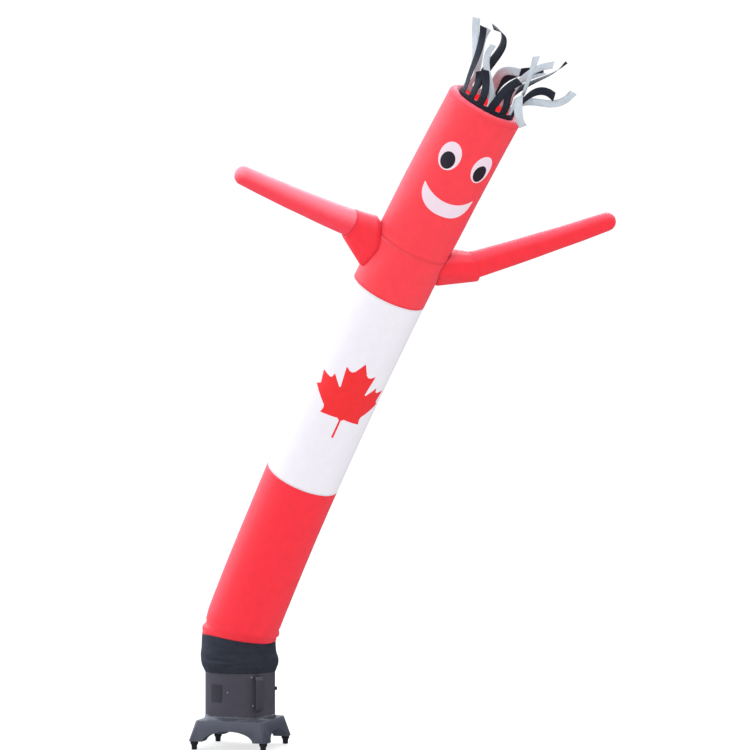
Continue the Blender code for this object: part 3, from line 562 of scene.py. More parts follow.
# The head's and the crown's inner side glows a little: painted light, an emission that stands in for
# daylight coming through thin cloth
painted_glow_cloth = cloth_finish("upper red nylon inside, painted glow", UPPER_RED, shaded(UPPER_RED, 0.93))
glow = painted_glow_cloth.node_tree.nodes["Principled BSDF"]
glow.inputs["Emission Color"].default_value = (1.0, 0.045, 0.060, 1.0)
glow.inputs["Emission Strength"].default_value = 0.36
add_panel("head_cloth", "head_panel", TORSO_TOP, HEAD_TOP, ARM_CREASES + HEAD_CREASES,
          [upper_red_cloth, white_print, black_print], face, painted_glow_cloth)

# The crown: a red ring gathered from the head's top seam in to its open mouth, a little swollen
# by the air, with small gathers running in to the mouth.
MOUTH_RADIUS = 0.117
CROWN_RISE, CROWN_SWELL, CROWN_HEM, CROWN_GATHER = 0.012, 0.007, 0.003, 0.0016
CROWN_ROWS, CROWN_LENGTH = 18, 0.048
head_frame = tube_frames(HEAD_TOP + SEAM_GAP / 2.0)
head_centre, head_across, head_front, head_axis = (item[0] for item in head_frame)
angles = full_turn(TUBE_COLUMNS)
crown_points = []
for row in range(CROWN_ROWS + 1):
    share = max(row - 1, 0) / (CROWN_ROWS - 1)
    hem = CROWN_HEM if row else 0.0
    inward = (TUBE_RADIUS - MOUTH_RADIUS) * (1.0 - math.cos(math.pi / 2.0 * share) ** 1.2)
    rise = hem + (CROWN_SWELL + CROWN_RISE) * math.sin(math.pi / 2.0 * min(share * 1.25, 1.0))
    rise -= CROWN_SWELL * max(share - 0.6, 0.0) / 0.4
    gathers = soft_noise(np.sin(angles), np.cos(angles), np.full_like(angles, share * 0.2), 0.10, 3)
    ripple = CROWN_GATHER * math.sin(math.pi * min(share * 0.8 + 0.1, 1.0)) * gathers
    outward = np.sin(angles)[:, None] * head_across + np.cos(angles)[:, None] * head_front
    crown_points.append(head_centre + outward * (TUBE_RADIUS - inward + ripple * 0.5)[:, None]
                        + head_axis * (rise + ripple)[:, None])
crown_mesh = cloth_mesh("crown_cloth", np.array(crown_points), TUBE_ROUND, CROWN_LENGTH)
# The crown's inner side takes the same glowing lining: painted light
crown_cloth = add_cloth("crown_cloth", crown_mesh, [upper_red_cloth], "crown", lining=painted_glow_cloth)

# The streamers: two narrow strips sewn inside the mouth, black outside and pale grey inside, each
# cut into long loose ribbons that the escaping air blows about. Each row gives the angle around
# the mouth where a ribbon is sewn, three headings from root to tip (lean from the head's axis and
# the side it leans to), its length and its twist; angles are in degrees.
BLACK_STREAMERS = (
    # root, lean_1, to_1, lean_2, to_2, lean_3, to_3, length, twist
    (-180.0, 10.0, -180.0, 55.0, 60.0, 65.0, 105.0, 0.225, -20.0),
    (-145.0, 10.0, -135.0, 45.0, 125.0, 90.0, -55.0, 0.285, 110.0),
    (-60.0, 10.0, -60.0, 80.0, -180.0, 40.0, -25.0, 0.255, -40.0),
    (-32.0, 10.0, -30.0, 95.0, -180.0, 35.0, -135.0, 0.105, 0.0),
    (-10.0, 10.0, -10.0, 65.0, -155.0, 40.0, -50.0, 0.120, 10.0),
    (14.0, 25.0, 20.0, 90.0, -175.0, 35.0, 80.0, 0.150, 10.0),
    (40.0, 5.0, 35.0, 90.0, -140.0, 30.0, 140.0, 0.110, 10.0),
    (75.0, 5.0, 70.0, 50.0, 165.0, 100.0, 65.0, 0.195, 60.0),
    (150.0, 25.0, 150.0, 65.0, 95.0, 15.0, 45.0, 0.280, 70.0),
)
GREY_STREAMERS = (
    # root, lean_1, to_1, lean_2, to_2, lean_3, to_3, length, twist
    (-175.0, 10.0, 0.0, 65.0, -15.0, 85.0, 115.0, 0.185, 40.0),
    (-125.0, 10.0, 55.0, 50.0, -100.0, 10.0, 45.0, 0.225, 40.0),
    (-85.0, 10.0, 95.0, 55.0, -125.0, 20.0, -80.0, 0.260, -80.0),
    (10.0, 30.0, -150.0, 85.0, -100.0, 15.0, 115.0, 0.240, -20.0),
    (64.0, 5.0, -80.0, 130.0, 0.0, 110.0, 150.0, 0.250, 30.0),
    (85.0, 5.0, -95.0, 20.0, -10.0, 15.0, -110.0, 0.235, 50.0),
    (113.0, 35.0, 20.0, 125.0, 120.0, 10.0, 105.0, 0.260, 0.0),
    (138.0, 25.0, -40.0, 20.0, 70.0, 55.0, 85.0, 0.255, 0.0),
    (160.0, 25.0, 5.0, 55.0, 125.0, 50.0, 55.0, 0.210, 70.0),
)
STREAMER_WIDTH, WIDTH_VARIES = 0.030, 0.12
RIBBON_CUP, RIBBON_RIPPLE, TIP_SLANT = 0.0030, 0.0012, 0.006
RIBBON_SIDES = (-1.0, -0.5, 0.0, 0.5, 1.0)
STREAMER_STEPS, STREAMER_FINE = 8, 4
STRIP_TOP, STRIP_BOTTOM = 0.020, -0.006
ROOT_TOP = 0.034                    # where a ribbon leaves the mouth's round and starts to bend
STRIP_COLUMNS = 120
STREAMER_CLOTH = 0.0009
mouth_centre, mouth_across, mouth_front, mouth_axis = (Vector(item[0]) for item in tube_frames(HEAD_TOP))
mouth_centre = mouth_centre + mouth_axis * (CROWN_RISE + CROWN_HEM)


def heading(lean, side):
    lean, side = math.radians(lean), math.radians(side)
    return Vector((math.sin(lean) * math.sin(side), math.sin(lean) * math.cos(side), math.cos(lean)))


def from_head(point):
    return mouth_centre + mouth_across * point.x + mouth_front * point.y + mouth_axis * point.z


def streamer_route(row, radius):
    """Points from root to tip and the width direction at each, in the head's own directions."""
    root_angle, lean_1, to_1, lean_2, to_2, lean_3, to_3, length, twist = row
    angle = math.radians(root_angle)
    first, second, third = heading(lean_1, to_1), heading(lean_2, to_2), heading(lean_3, to_3)
    point = Vector((radius * math.sin(angle), radius * math.cos(angle), ROOT_TOP))
    width = Vector((math.cos(angle), -math.sin(angle), 0.0))
    previous = Vector((0.0, 0.0, 1.0))
    route = [(point, width, previous)]
    for step in range(STREAMER_STEPS):
        share = (step + 0.5) / STREAMER_STEPS
        ahead = (1 - share) ** 2 * first + 2 * share * (1 - share) * second + share ** 2 * third
        ahead.normalize()
        point = point + ahead * length / STREAMER_STEPS
        width = previous.rotation_difference(ahead) @ width
        width = Matrix.Rotation(math.radians(twist / STREAMER_STEPS), 3, ahead) @ width
        previous = ahead
        route.append((point, width.normalized(), ahead))
    return route


def ribbon_points(row, radius, number):
    """One ribbon: smooth between the route's points, cupped across, its tip cut on a slant."""
    route = streamer_route(row, radius)
    lines = []
    count = STREAMER_STEPS * STREAMER_FINE
    half_width = STREAMER_WIDTH / 2.0 * (1.0 + WIDTH_VARIES * math.sin(2.7 * number + row[7] * 40.0))
    for index in range(count + 1):
        place = min(index / STREAMER_FINE, STREAMER_STEPS - 1e-6)
        start = int(place)
        share = place - start
        around = [route[min(max(start + step, 0), STREAMER_STEPS)] for step in (-1, 0, 1, 2)]
        weights = (-0.5 * share + share ** 2 - 0.5 * share ** 3, 1 - 2.5 * share ** 2 + 1.5 * share ** 3,
                   0.5 * share + 2 * share ** 2 - 1.5 * share ** 3, -0.5 * share ** 2 + 0.5 * share ** 3)
        if start in (0, STREAMER_STEPS - 1):
            weights = (0.0, 1.0 - share, share, 0.0)
        point = sum((part[0] * weight for part, weight in zip(around, weights)), Vector())
        width = sum((part[1] * weight for part, weight in zip(around, weights)), Vector()).normalized()
        ahead = (around[2][0] - around[1][0]).normalized()
        across = width.cross(ahead).normalized()
        along = index / count
        cup = RIBBON_CUP * math.sin(math.pi * min(along * 1.4, 1.0)) * math.sin(2.1 * number + 4.0 * along)
        ripple = RIBBON_RIPPLE * math.sin(9.0 * along + 1.7 * number) * along
        line = []
        for side in RIBBON_SIDES:
            slant = -side * TIP_SLANT * math.sin(3.3 * number) * max(along - 0.8, 0.0) / 0.2
            place = point + width * side * half_width + ahead * slant
            place += across * (cup * (side * side - 0.4) + ripple * side)
            line.append(from_head(place))
        lines.append(line)
    root, width, _ = route[0]
    for rise in (-0.5, -1.0):
        below = root + Vector((0.0, 0.0, rise * (ROOT_TOP - STRIP_TOP + 0.002)))
        lines.insert(0, [from_head(below + width * side * half_width) for side in RIBBON_SIDES])
    return np.array([[tuple(point) for point in line] for line in lines])


def add_fringe(colour_name, streamers, radius, finish, node):
    """A strip round the mouth and the ribbons that are sewn into it."""
    rings = []
    for up in np.linspace(STRIP_BOTTOM, STRIP_TOP, 7):
        outward = [Vector((radius * math.sin(turn), radius * math.cos(turn), up))
                   for turn in full_turn(STRIP_COLUMNS)]
        rings.append([tuple(from_head(point)) for point in outward])
    around, tall = 2.0 * math.pi * radius, STRIP_TOP - STRIP_BOTTOM
    strip_mesh = cloth_mesh(colour_name + "_strip", np.array(rings), around, tall)
    strip = add_cloth(colour_name + "_strip", strip_mesh, [finish], node)
    work = bmesh.new()
    for number, row in enumerate(streamers):
        points = ribbon_points(row, radius - CLOTH / 2.0, number)
        single = cloth_mesh("ribbon", points, STREAMER_WIDTH, row[7], closed=False)
        work.from_mesh(single)
        bpy.data.meshes.remove(single)
    ribbons_mesh = bpy.data.meshes.new(colour_name + "_streamers")
    work.to_mesh(ribbons_mesh)
    work.free()
    ribbons = add_cloth(colour_name + "_streamers", ribbons_mesh, [finish], node, STREAMER_CLOTH, 0.0)


black_cloth = cloth_finish("black nylon", (0.022, 0.026, 0.040), (0.015, 0.018, 0.028), sheen=0.02,
                           gloss=0.15)
grey_cloth = cloth_finish("pale grey nylon", (0.54, 0.60, 0.65), (0.47, 0.52, 0.58))
add_fringe("black", BLACK_STREAMERS, 0.1161, black_cloth, "hair_black")
add_fringe("grey", GREY_STREAMERS, 0.1131, grey_cloth, "hair_grey")

# The arms: tapering red nylon sleeves with round closed hands, held out stiff by the air and
# hanging a very little. A seam runs along each, and gathers fan out from the hand's end.
ARMS = (
    # side, root_angle, cuff_low, cuff_high, skew, out, lift, right, front, up, length, seam_back
    ("left", -77.0, 1.921, 2.072, 14.0, 0.112, 0.036, -0.835, 0.430, 0.342, 0.520, 0.0),
    ("right", 103.0, 1.949, 2.074, 0.0, 0.132, 0.103, 0.944, -0.107, 0.311, 0.560, 0.032),
)
# The left arm is painted lit: its red is a lighter copy of the red, and it is painted lighter still on all
# but its lowest side, as painted light falling on it
LIT_ARM_RED, LIT_ARM_TOP_LIT = (0.86, 0.045, 0.075), (0.93, 0.36, 0.46)
ARM_HEIGHT = 2.000
ARM_ROOT_RADIUS, ARM_TIP_RADIUS, ARM_SAG = 0.053, 0.036, 0.004
ARM_WAVE, ARM_GATHER, ARM_GATHER_REACH = 0.0012, 0.0016, 0.03
ARM_COLUMNS, STRAIGHT_ROWS, HAND_ROWS = 64, 60, 14
ARM_SEEDS = {"left": 5.0, "right": 9.0}
CUFF_OVERLAP = 0.012                # how far an arm runs on inside its cuff


def arm_frame(root_angle, out, lift, direction):
    """The arm's root, the way out of the tube, two directions square to the arm, and the tube's axis."""
    angle = math.radians(root_angle)
    centre, across, front, axis = (Vector(item[0]) for item in tube_frames(ARM_HEIGHT))
    outward = math.sin(angle) * across + math.cos(angle) * front
    shoulder = centre + outward * (TUBE_RADIUS + out) + axis * lift
    upward = (axis - direction * axis.dot(direction)).normalized()
    return shoulder, outward, upward, upward.cross(direction), axis


def arm_points(shoulder, direction, upward, sideways, length, seed, overlap):
    """Rings from the arm's root to its closed round hand."""
    whole = length + overlap
    straight = whole - ARM_TIP_RADIUS
    rings = []
    for row in range(STRAIGHT_ROWS + HAND_ROWS + 1):
        if row <= STRAIGHT_ROWS:
            reach = straight * row / STRAIGHT_ROWS
            radius = ARM_ROOT_RADIUS + (ARM_TIP_RADIUS - ARM_ROOT_RADIUS) * row / STRAIGHT_ROWS
        else:
            turn = math.pi / 2.0 * (row - STRAIGHT_ROWS) / HAND_ROWS
            reach = straight + ARM_TIP_RADIUS * math.sin(turn)
            radius = ARM_TIP_RADIUS * max(math.cos(turn), 0.004)
        droop = ARM_SAG * math.sin(math.pi * reach / whole)
        at_root = math.exp(-reach / ARM_GATHER_REACH)
        at_tip = math.exp(-(whole - reach) / ARM_GATHER_REACH)
        ring = []
        for column in range(ARM_COLUMNS):
            angle = 2.0 * math.pi * column / ARM_COLUMNS
            outward = math.cos(angle) * upward + math.sin(angle) * sideways
            spot = Vector((math.cos(angle), math.sin(angle), seed))
            wave = noise.noise(spot * 0.9 + Vector((0.0, 0.0, reach * 9.0)))
            fine = noise.noise(spot * 4.5 + Vector((0.0, 0.0, reach * 14.0)))
            uneven = ARM_WAVE * wave + ARM_GATHER * fine * (at_root + at_tip)
            uneven *= min(radius / ARM_TIP_RADIUS, 1.0) ** 2
            place = shoulder + direction * (reach - overlap) + outward * (radius + uneven)
            ring.append(tuple(place - upward * droop))
        rings.append(ring)
    return np.array(rings)


def close_end(mesh, last):
    """Gathers the last row of the cloth into one point, as the hand's end is sewn shut."""
    def gather(work):
        work.verts.ensure_lookup_table()
        row = work.verts[-last:]
        bmesh.ops.pointmerge(work, verts=row, merge_co=sum((vertex.co for vertex in row), Vector()) / last)
    rework(mesh, gather)


# Painted light: the left arm's lit red, lightened upwards from far down its sides
lit_arm_cloth = cloth_finish("lit arm red nylon", LIT_ARM_RED, shaded(LIT_ARM_RED, 0.93), LIT_ARM_TOP_LIT,
                             0.9, -0.6)
arm_finishes = {"left": lit_arm_cloth, "right": red_cloth}
for side, root_angle, _, _, _, out, lift, right, front, up, length, seam_back in ARMS:
    direction = Vector((right, -front, up)).normalized()
    shoulder, _, upward, sideways, _ = arm_frame(root_angle, out, lift, direction)
    points = arm_points(shoulder, direction, upward, sideways, length, ARM_SEEDS[side],
                        CUFF_OVERLAP + seam_back)
    arm_width, arm_length = 2.0 * math.pi * ARM_ROOT_RADIUS, length + CUFF_OVERLAP + seam_back
    arm_mesh = cloth_mesh("arm_%s_cloth" % side, points, arm_width, arm_length)
    close_end(arm_mesh, ARM_COLUMNS)
    arm_cloth = add_cloth("arm_%s_cloth" % side, arm_mesh, [arm_finishes[side]], "arm_" + side)

# The cuffs: red gussets that join each arm to the torso, boxy above with a folded knee and pointed
# below. Each is sewn flat to the tube along its wide edge and gathered in to the arm at its end.
CUFF_WIDTH, CUFF_LENGTH = 0.420, 0.130
CUFF_STAND_OFF, CUFF_HALF_TURN = 0.0011, 30.0
CUFF_END_RADIUS, CUFF_LIFT, CUFF_DROP = 0.059, 0.0021, 0.008
KNEE_OUT, KNEE_UP = 0.024, 0.016
CUFF_GATHER = 0.0022
CUFF_COLUMNS, CUFF_BANDS, CUFF_FINE = 72, 5, 8


def cuff_bands(angle, root_angle, middle, half, skew, direction, shoulder, outward, upward, sideways, axis):
    """The six places that the cuff passes at an angle, from its edge on the tube to its end on the arm."""
    rise, turn = math.cos(angle), math.sin(angle)
    below, above = max(-rise, 0.0), max(rise, 0.0)
    spread = turn if rise > 0.0 else math.copysign(abs(turn) * 0.2 + (1.0 - below) * 0.8, turn)
    tube_angle = math.radians(root_angle + CUFF_HALF_TURN * spread + skew * below)
    spot = tube_points([middle + rise * half], np.array([tube_angle]), [TUBE_RADIUS + CUFF_STAND_OFF])
    edge = Vector(spot[0])
    knee = edge + outward * KNEE_OUT * (0.45 + 0.55 * above) + axis * KNEE_UP * above
    ring = rise * upward + turn * sideways
    drop = upward * CUFF_DROP * below
    gathered = ARM_ROOT_RADIUS + CUFF_LIFT
    wide = gathered + (CUFF_END_RADIUS - gathered) * (0.15 + 0.85 * below)
    wide_end = shoulder - direction * CUFF_OVERLAP * 0.9 + ring * wide - drop
    return (edge, knee, knee.lerp(wide_end, 0.5), wide_end,
            shoulder - direction * CUFF_OVERLAP * 0.45 + ring * wide * 0.99 - drop * 0.8,
            shoulder + ring * gathered)


for side, root_angle, cuff_low, cuff_high, skew, out, lift, right, front, up, length, seam_back in ARMS:
    direction = Vector((right, -front, up)).normalized()
    shoulder, outward, upward, sideways, axis = arm_frame(root_angle, out, lift, direction)
    shoulder = shoulder - direction * seam_back
    middle, half = (cuff_low + cuff_high) / 2.0, (cuff_high - cuff_low) / 2.0
    columns = [cuff_bands(2.0 * math.pi * column / CUFF_COLUMNS, root_angle, middle, half, skew, direction,
                          shoulder, outward, upward, sideways, axis) for column in range(CUFF_COLUMNS)]
    rows = []
    for band in range(CUFF_BANDS):
        for step in range(CUFF_FINE if band < CUFF_BANDS - 1 else CUFF_FINE + 1):
            share = step / CUFF_FINE
            ring = []
            for column, bands in enumerate(columns):
                spot = bands[band].lerp(bands[band + 1], share)
                angle = 2.0 * math.pi * column / CUFF_COLUMNS
                progress = (band + share) / CUFF_BANDS
                fine = noise.noise(Vector((math.cos(angle) * 2.6, math.sin(angle) * 2.6,
                                           progress * 2.2 + 3.0)))
                swell = math.sin(math.pi * min(progress * 1.2, 1.0))
                middle_of_ring = shoulder - direction * CUFF_OVERLAP
                away = (spot - middle_of_ring).normalized()
                ring.append(tuple(spot + away * CUFF_GATHER * fine * swell))
            rows.append(ring)
    cuff_mesh = cloth_mesh("cuff_%s_cloth" % side, np.array(rows), CUFF_WIDTH, CUFF_LENGTH)
    cuff_cloth = add_cloth("cuff_%s_cloth" % side, cuff_mesh, [red_cloth], "cuff_" + side)

# The sleeve: black nylon, tied close round the blower's outlet, swollen above the tie and sewn to
# the foot of the red tube. Small gathers stand above the tie and slack folds lie across its front.
COLLAR_PROFILE = (
    # height, radius
    (0.3140, 0.1466), (0.3230, 0.1505), (0.3390, 0.1575), (0.3570, 0.1608), (0.3780, 0.1590),
    (0.4000, 0.1553), (0.4250, 0.1535), (COLLAR_TOP - SEAM_GAP / 2.0, TUBE_RADIUS),
)
COLLAR_CREASES = (
    (0.364, -22.0, -0.0050, 0.011, 45.0, -0.010),
    (0.349, 5.0, -0.0040, 0.009, 40.0, 0.012),
    (0.392, -60.0, 0.0030, 0.018, 45.0, 0.010),
    (0.377, 70.0, 0.0030, 0.020, 50.0, -0.012),
    (0.367, 170.0, -0.0040, 0.016, 60.0, 0.008),
    (0.402, 20.0, -0.0025, 0.008, 40.0, 0.014),
    (0.418, -35.0, -0.0020, 0.008, 45.0, -0.010),
    (0.385, -5.0, 0.0020, 0.008, 30.0, 0.020),
)
COLLAR_ROWS = 44
COLLAR_GATHER, TIE_REACH = 0.0022, 0.02
collar_heights = np.linspace(COLLAR_PROFILE[0][0], COLLAR_PROFILE[-1][0], COLLAR_ROWS + 1)
profile_heights, profile_radii = (np.array(column) for column in zip(*COLLAR_PROFILE))
top_centre, top_across, top_front, top_axis = (item[0] for item in tube_frames(COLLAR_TOP))
collar_points = []
for height in collar_heights:
    radius = np.full_like(angles, np.interp(height, profile_heights, profile_radii))
    radius += crease_depth(COLLAR_CREASES, np.full_like(angles, height), angles)
    above_tie = (height - collar_heights[0]) / TIE_REACH
    gathers = soft_noise(np.sin(angles), np.cos(angles), np.full_like(angles, height * 3.0), 0.075, 6)
    radius += COLLAR_GATHER * gathers * min(above_tie, 1.0) * math.exp(-max(above_tie - 1.0, 0.0) / 2.0)
    upright = np.stack((np.sin(angles), -np.cos(angles), np.zeros_like(angles)), axis=-1) * radius[:, None]
    leaning = (np.sin(angles)[:, None] * top_across + np.cos(angles)[:, None] * top_front) * radius[:, None]
    share = float(smooth_step((height - collar_heights[0]) / (collar_heights[-1] - collar_heights[0])))
    low_ring = np.array((blower_axis.x, blower_axis.y, height)) + upright
    high_ring = top_centre + top_axis * (height - COLLAR_TOP) + leaning
    below_seam = smooth_step((height - COLLAR_TOP + FOOT_SEAM_FADE) / FOOT_SEAM_FADE)
    collar_points.append(low_ring * (1.0 - share) + high_ring * share + foot_seam_rise(angles, below_seam))
collar_width, collar_length = 2.0 * math.pi * 0.155, 0.140
collar_mesh = cloth_mesh("collar_cloth", np.array(collar_points), collar_width, collar_length)
sleeve_cloth = cloth_finish("black sleeve nylon", (0.026, 0.029, 0.042), (0.020, 0.023, 0.034),
                            roughness=0.6, sheen=0.02, gloss=0.12)
collar_cloth = add_cloth("collar_cloth", collar_mesh, [sleeve_cloth], "collar")

# The seam allowances: each panel's top edge, turned in behind the seam that joins it to
# the next panel. They lie inside the tube and close the narrow slit at the seam.
ALLOWANCE_HALF, ALLOWANCE_BEHIND, ALLOWANCE_THICK = 0.005, 0.0016, 0.0006
ALLOWANCE_ROWS = 4
for panel, seam, creases, neighbours, finish in (
        ("lower", LOWER_TOP, (), (LOWER_TOP, WHITE_TOP), red_cloth),
        ("white", WHITE_TOP, (), (LOWER_TOP, WHITE_TOP), red_cloth),
        ("torso", TORSO_TOP, ARM_CREASES, (WHITE_TOP, TORSO_TOP), upper_red_cloth)):
    levels = np.linspace(seam - ALLOWANCE_HALF, seam + ALLOWANCE_HALF, ALLOWANCE_ROWS + 1)
    rings = [tube_surface(np.full_like(angles, height), angles, creases, neighbours, -ALLOWANCE_BEHIND)
             for height in levels]
    allowance_flat = (TUBE_ROUND, 2.0 * ALLOWANCE_HALF)
    allowance_mesh = cloth_mesh(panel + "_seam_allowance", np.array(rings), *allowance_flat)
    allowance = add_cloth(panel + "_seam_allowance", allowance_mesh, [finish], panel + "_panel",
                          ALLOWANCE_THICK)

# The stitching: a row of thread beside every seam round the tube, on both sides where two of its
# panels meet, and along the arms' undersides. Each stitch is a bead half sunk in the cloth.
STITCH_PITCH, STITCH_LENGTH, THREAD_RADIUS = 0.0046, 0.0033, 0.0005
STITCH_FROM_SEAM, THREAD_LIFT, THREAD_TWIST = 0.0045, 0.3, 1500.0
STITCH_POINTS = 240


def stitch_tree():
    """Nodes that lay stitches at an even pitch along every line of edges."""
    tree = bpy.data.node_groups.new("stitches", "GeometryNodeTree")
    for name, way, kind in (
            ("Geometry", "INPUT", "Geometry"), ("Pitch", "INPUT", "Float"),
            ("Stitch length", "INPUT", "Float"), ("Thread radius", "INPUT", "Float"),
            ("Thread", "INPUT", "Material"),
            ("Geometry", "OUTPUT", "Geometry")):
        tree.interface.new_socket(name, in_out=way, socket_type="NodeSocket" + kind)
    given = add_node(tree, "NodeGroupInput").outputs
    line = add_node(tree, "GeometryNodeMeshToCurve", {"Mesh": given["Geometry"]})
    spaced = add_node(tree, "GeometryNodeResampleCurve", {
        "Curve": line.outputs["Curve"], "Length": given["Pitch"]}, mode="LENGTH")
    bead = add_node(tree, "GeometryNodeMeshUVSphere", {"Segments": 5, "Rings": 4, "Radius": 1.0})
    along = add_node(tree, "GeometryNodeInputTangent").outputs["Tangent"]
    turned = add_node(tree, "FunctionNodeAlignRotationToVector", {"Vector": along}, axis="Z")
    size = add_node(tree, "ShaderNodeCombineXYZ", {
        "X": given["Thread radius"], "Y": given["Thread radius"],
        "Z": worked_out(tree, "MULTIPLY", given["Stitch length"], 0.5)})
    laid = add_node(tree, "GeometryNodeInstanceOnPoints", {
        "Points": spaced.outputs["Curve"], "Instance": bead.outputs["Mesh"],
        "Rotation": turned.outputs["Rotation"], "Scale": size.outputs["Vector"]})
    real = add_node(tree, "GeometryNodeRealizeInstances", {"Geometry": laid.outputs["Instances"]})
    coloured = add_node(tree, "GeometryNodeSetMaterial", {
        "Geometry": real.outputs["Geometry"], "Material": given["Thread"]})
    add_node(tree, "NodeGroupOutput", {"Geometry": coloured.outputs["Geometry"]})
    return tree


stitches = stitch_tree()


def thread_finish(name, colour):
    """Twisted sewing thread: fine light and dark turns on the object's own coordinates."""
    finish, tree, shader = new_finish(name, {"Roughness": 0.6})
    place = add_node(tree, "ShaderNodeTexCoord").outputs["Object"]
    twist = add_node(tree, "ShaderNodeTexNoise", {"Vector": place, "Scale": THREAD_TWIST}).outputs["Fac"]
    tree.links.new(mixed(tree, twist, shaded(colour, 0.75), colour), shader.inputs["Base Color"])
    return finish


def add_stitches(name, lines, finish):
    """Stitches along lines of points; a line is (points, closed). They are made a plain mesh."""
    points, edges = [], []
    for line, closed in lines:
        first, count = len(points), len(line)
        points += [tuple(point) for point in line]
        edges += [(first + index, first + (index + 1) % count)
                  for index in range(count if closed else count - 1)]
    path_mesh = bpy.data.meshes.new(name + "_path")
    path_mesh.from_pydata(points, edges, [])
    path = bpy.data.objects.new(name + "_path", path_mesh)
    scene.collection.objects.link(path)
    sewn = path.modifiers.new("Stitches", "NODES")
    sewn.node_group = stitches
    values = {"Pitch": STITCH_PITCH, "Stitch length": STITCH_LENGTH, "Thread radius": THREAD_RADIUS,
              "Thread": finish}
    for item in stitches.interface.items_tree:
        if item.in_out == "INPUT" and item.name in values:
            sewn[item.identifier] = values[item.name]
    mesh = bpy.data.meshes.new_from_object(path.evaluated_get(bpy.context.evaluated_depsgraph_get()))
    mesh.name = name
    path.modifiers.clear()
    bpy.data.objects.remove(path, do_unlink=True)
    bpy.data.meshes.remove(path_mesh)
    add_piece(name, mesh)


def seam_line(seam, side, creases, seams):
    """The closed line of stitches above (1) or below (-1) a seam round the tube."""
    turns = full_turn(STITCH_POINTS)
    height = np.full_like(turns, seam + side * STITCH_FROM_SEAM)
    return tube_surface(height, turns, creases, seams, THREAD_RADIUS * THREAD_LIFT), True


red_lines = [
    seam_line(COLLAR_TOP, 1, FOOT_CREASES, (COLLAR_TOP, LOWER_TOP)),
    seam_line(LOWER_TOP, -1, FOOT_CREASES, (COLLAR_TOP, LOWER_TOP)),
    seam_line(WHITE_TOP, 1, ARM_CREASES, (WHITE_TOP, TORSO_TOP)),
    seam_line(TORSO_TOP, -1, ARM_CREASES, (WHITE_TOP, TORSO_TOP)),
    seam_line(TORSO_TOP, 1, ARM_CREASES + HEAD_CREASES, (TORSO_TOP, HEAD_TOP)),
    seam_line(HEAD_TOP, -1, ARM_CREASES + HEAD_CREASES, (TORSO_TOP, HEAD_TOP)),
]
white_lines = [seam_line(LOWER_TOP, 1, (), (LOWER_TOP, WHITE_TOP)),
               seam_line(WHITE_TOP, -1, (), (LOWER_TOP, WHITE_TOP))]
for side in ("left", "right"):
    arm_mesh = bpy.data.objects["arm_%s_cloth" % side].data
    under = [tuple(arm_mesh.vertices[row * ARM_COLUMNS + ARM_COLUMNS // 2].co) for row in range(3, 68)]
    red_lines.append((under, False))
red_thread = thread_finish("red thread", UPPER_RED)
white_thread = thread_finish("white thread", WHITE)
add_stitches("red_stitches", red_lines, red_thread)
add_stitches("white_stitches", white_lines, white_thread)

# The blower: a round upright casing of black moulded plastic with a fine grain, set on a square
# moulded base with four legs and an arch between each pair, on four rubber pegs.
moulded, given, put_out = new_group("moulded plastic", {"Grain size": 900.0, "Dust": 0.25},
                                    ("Height", "Mottle", "Dust mask"))
place = add_node(moulded, "ShaderNodeTexCoord").outputs["Object"]
grain = add_node(moulded, "ShaderNodeTexNoise", {
    "Vector": place, "Scale": given["Grain size"], "Detail": 2.0}).outputs["Fac"]
mottle = add_node(moulded, "ShaderNodeTexNoise", {
    "Vector": place, "Scale": 18.0, "Detail": 5.0}).outputs["Fac"]
moulded.links.new(grain, put_out["Height"])
moulded.links.new(mottle, put_out["Mottle"])
facing = add_node(moulded, "ShaderNodeNewGeometry").outputs["Normal"]
upwards = add_node(moulded, "ShaderNodeSeparateXYZ", {"Vector": facing}).outputs["Z"]
upper = add_node(moulded, "ShaderNodeMapRange", {"Value": upwards, "From Min": 0.3, "From Max": 1.0})
dusty = worked_out(moulded, "MULTIPLY", upper.outputs["Result"], mottle)
moulded.links.new(worked_out(moulded, "MULTIPLY", dusty, given["Dust"]), put_out["Dust mask"])
GRAIN_BUMP, GRAIN_BUMP_DEPTH = 0.25, 0.0004
DUST_COLOUR = (0.30, 0.30, 0.32)


def plastic_finish(name, colour, roughness, dust=0.25, metallic=0.0, gloss=0.25):
    """Moulded plastic: mottled colour and gloss, fine grain as bump and dust on its upper faces."""
    finish, tree, shader = new_finish(name, {"Metallic": metallic, "Specular IOR Level": gloss})
    surface = add_node(tree, "ShaderNodeGroup", {"Dust": dust}, node_tree=moulded).outputs
    mottled = mixed(tree, surface["Mottle"], shaded(colour, 0.85), shaded(colour, 1.15))
    tree.links.new(mixed(tree, surface["Dust mask"], mottled, DUST_COLOUR), shader.inputs["Base Color"])
    tree.links.new(bumped(tree, surface["Height"], GRAIN_BUMP, GRAIN_BUMP_DEPTH), shader.inputs["Normal"])
    rough = add_node(tree, "ShaderNodeMapRange", {
        "Value": surface["Mottle"], "To Min": roughness - 0.06, "To Max": roughness + 0.08})
    tree.links.new(rough.outputs["Result"], shader.inputs["Roughness"])
    return finish


# The casing: one turned wall of black moulded plastic with a fine grain, an open outlet inside the
# sleeve and rounded edges. It stands on the base.
casing_plastic = plastic_finish("black casing plastic", (0.055, 0.052, 0.069), 0.5, gloss=0.10)
CASING_RADIUS, CASING_TOP, CASING_EDGE = 0.1445, 0.400, 0.004
OUTLET_RADIUS, OUTLET_FLOOR = 0.131, 0.340
BASE_TOP, CASING_LIFT = 0.119, 0.0003
FOOT_ROUNDING = 0.001
CASING_COLUMNS, ARC_STEPS = 160, 6


def arc(middle_radius, middle_height, first, last, size):
    """Points of a quarter round in the casing's profile; angles in degrees from straight out."""
    turns = [math.radians(first + (last - first) * step / ARC_STEPS) for step in range(ARC_STEPS + 1)]
    return [(middle_radius + size * math.cos(turn), middle_height + size * math.sin(turn)) for turn in turns]


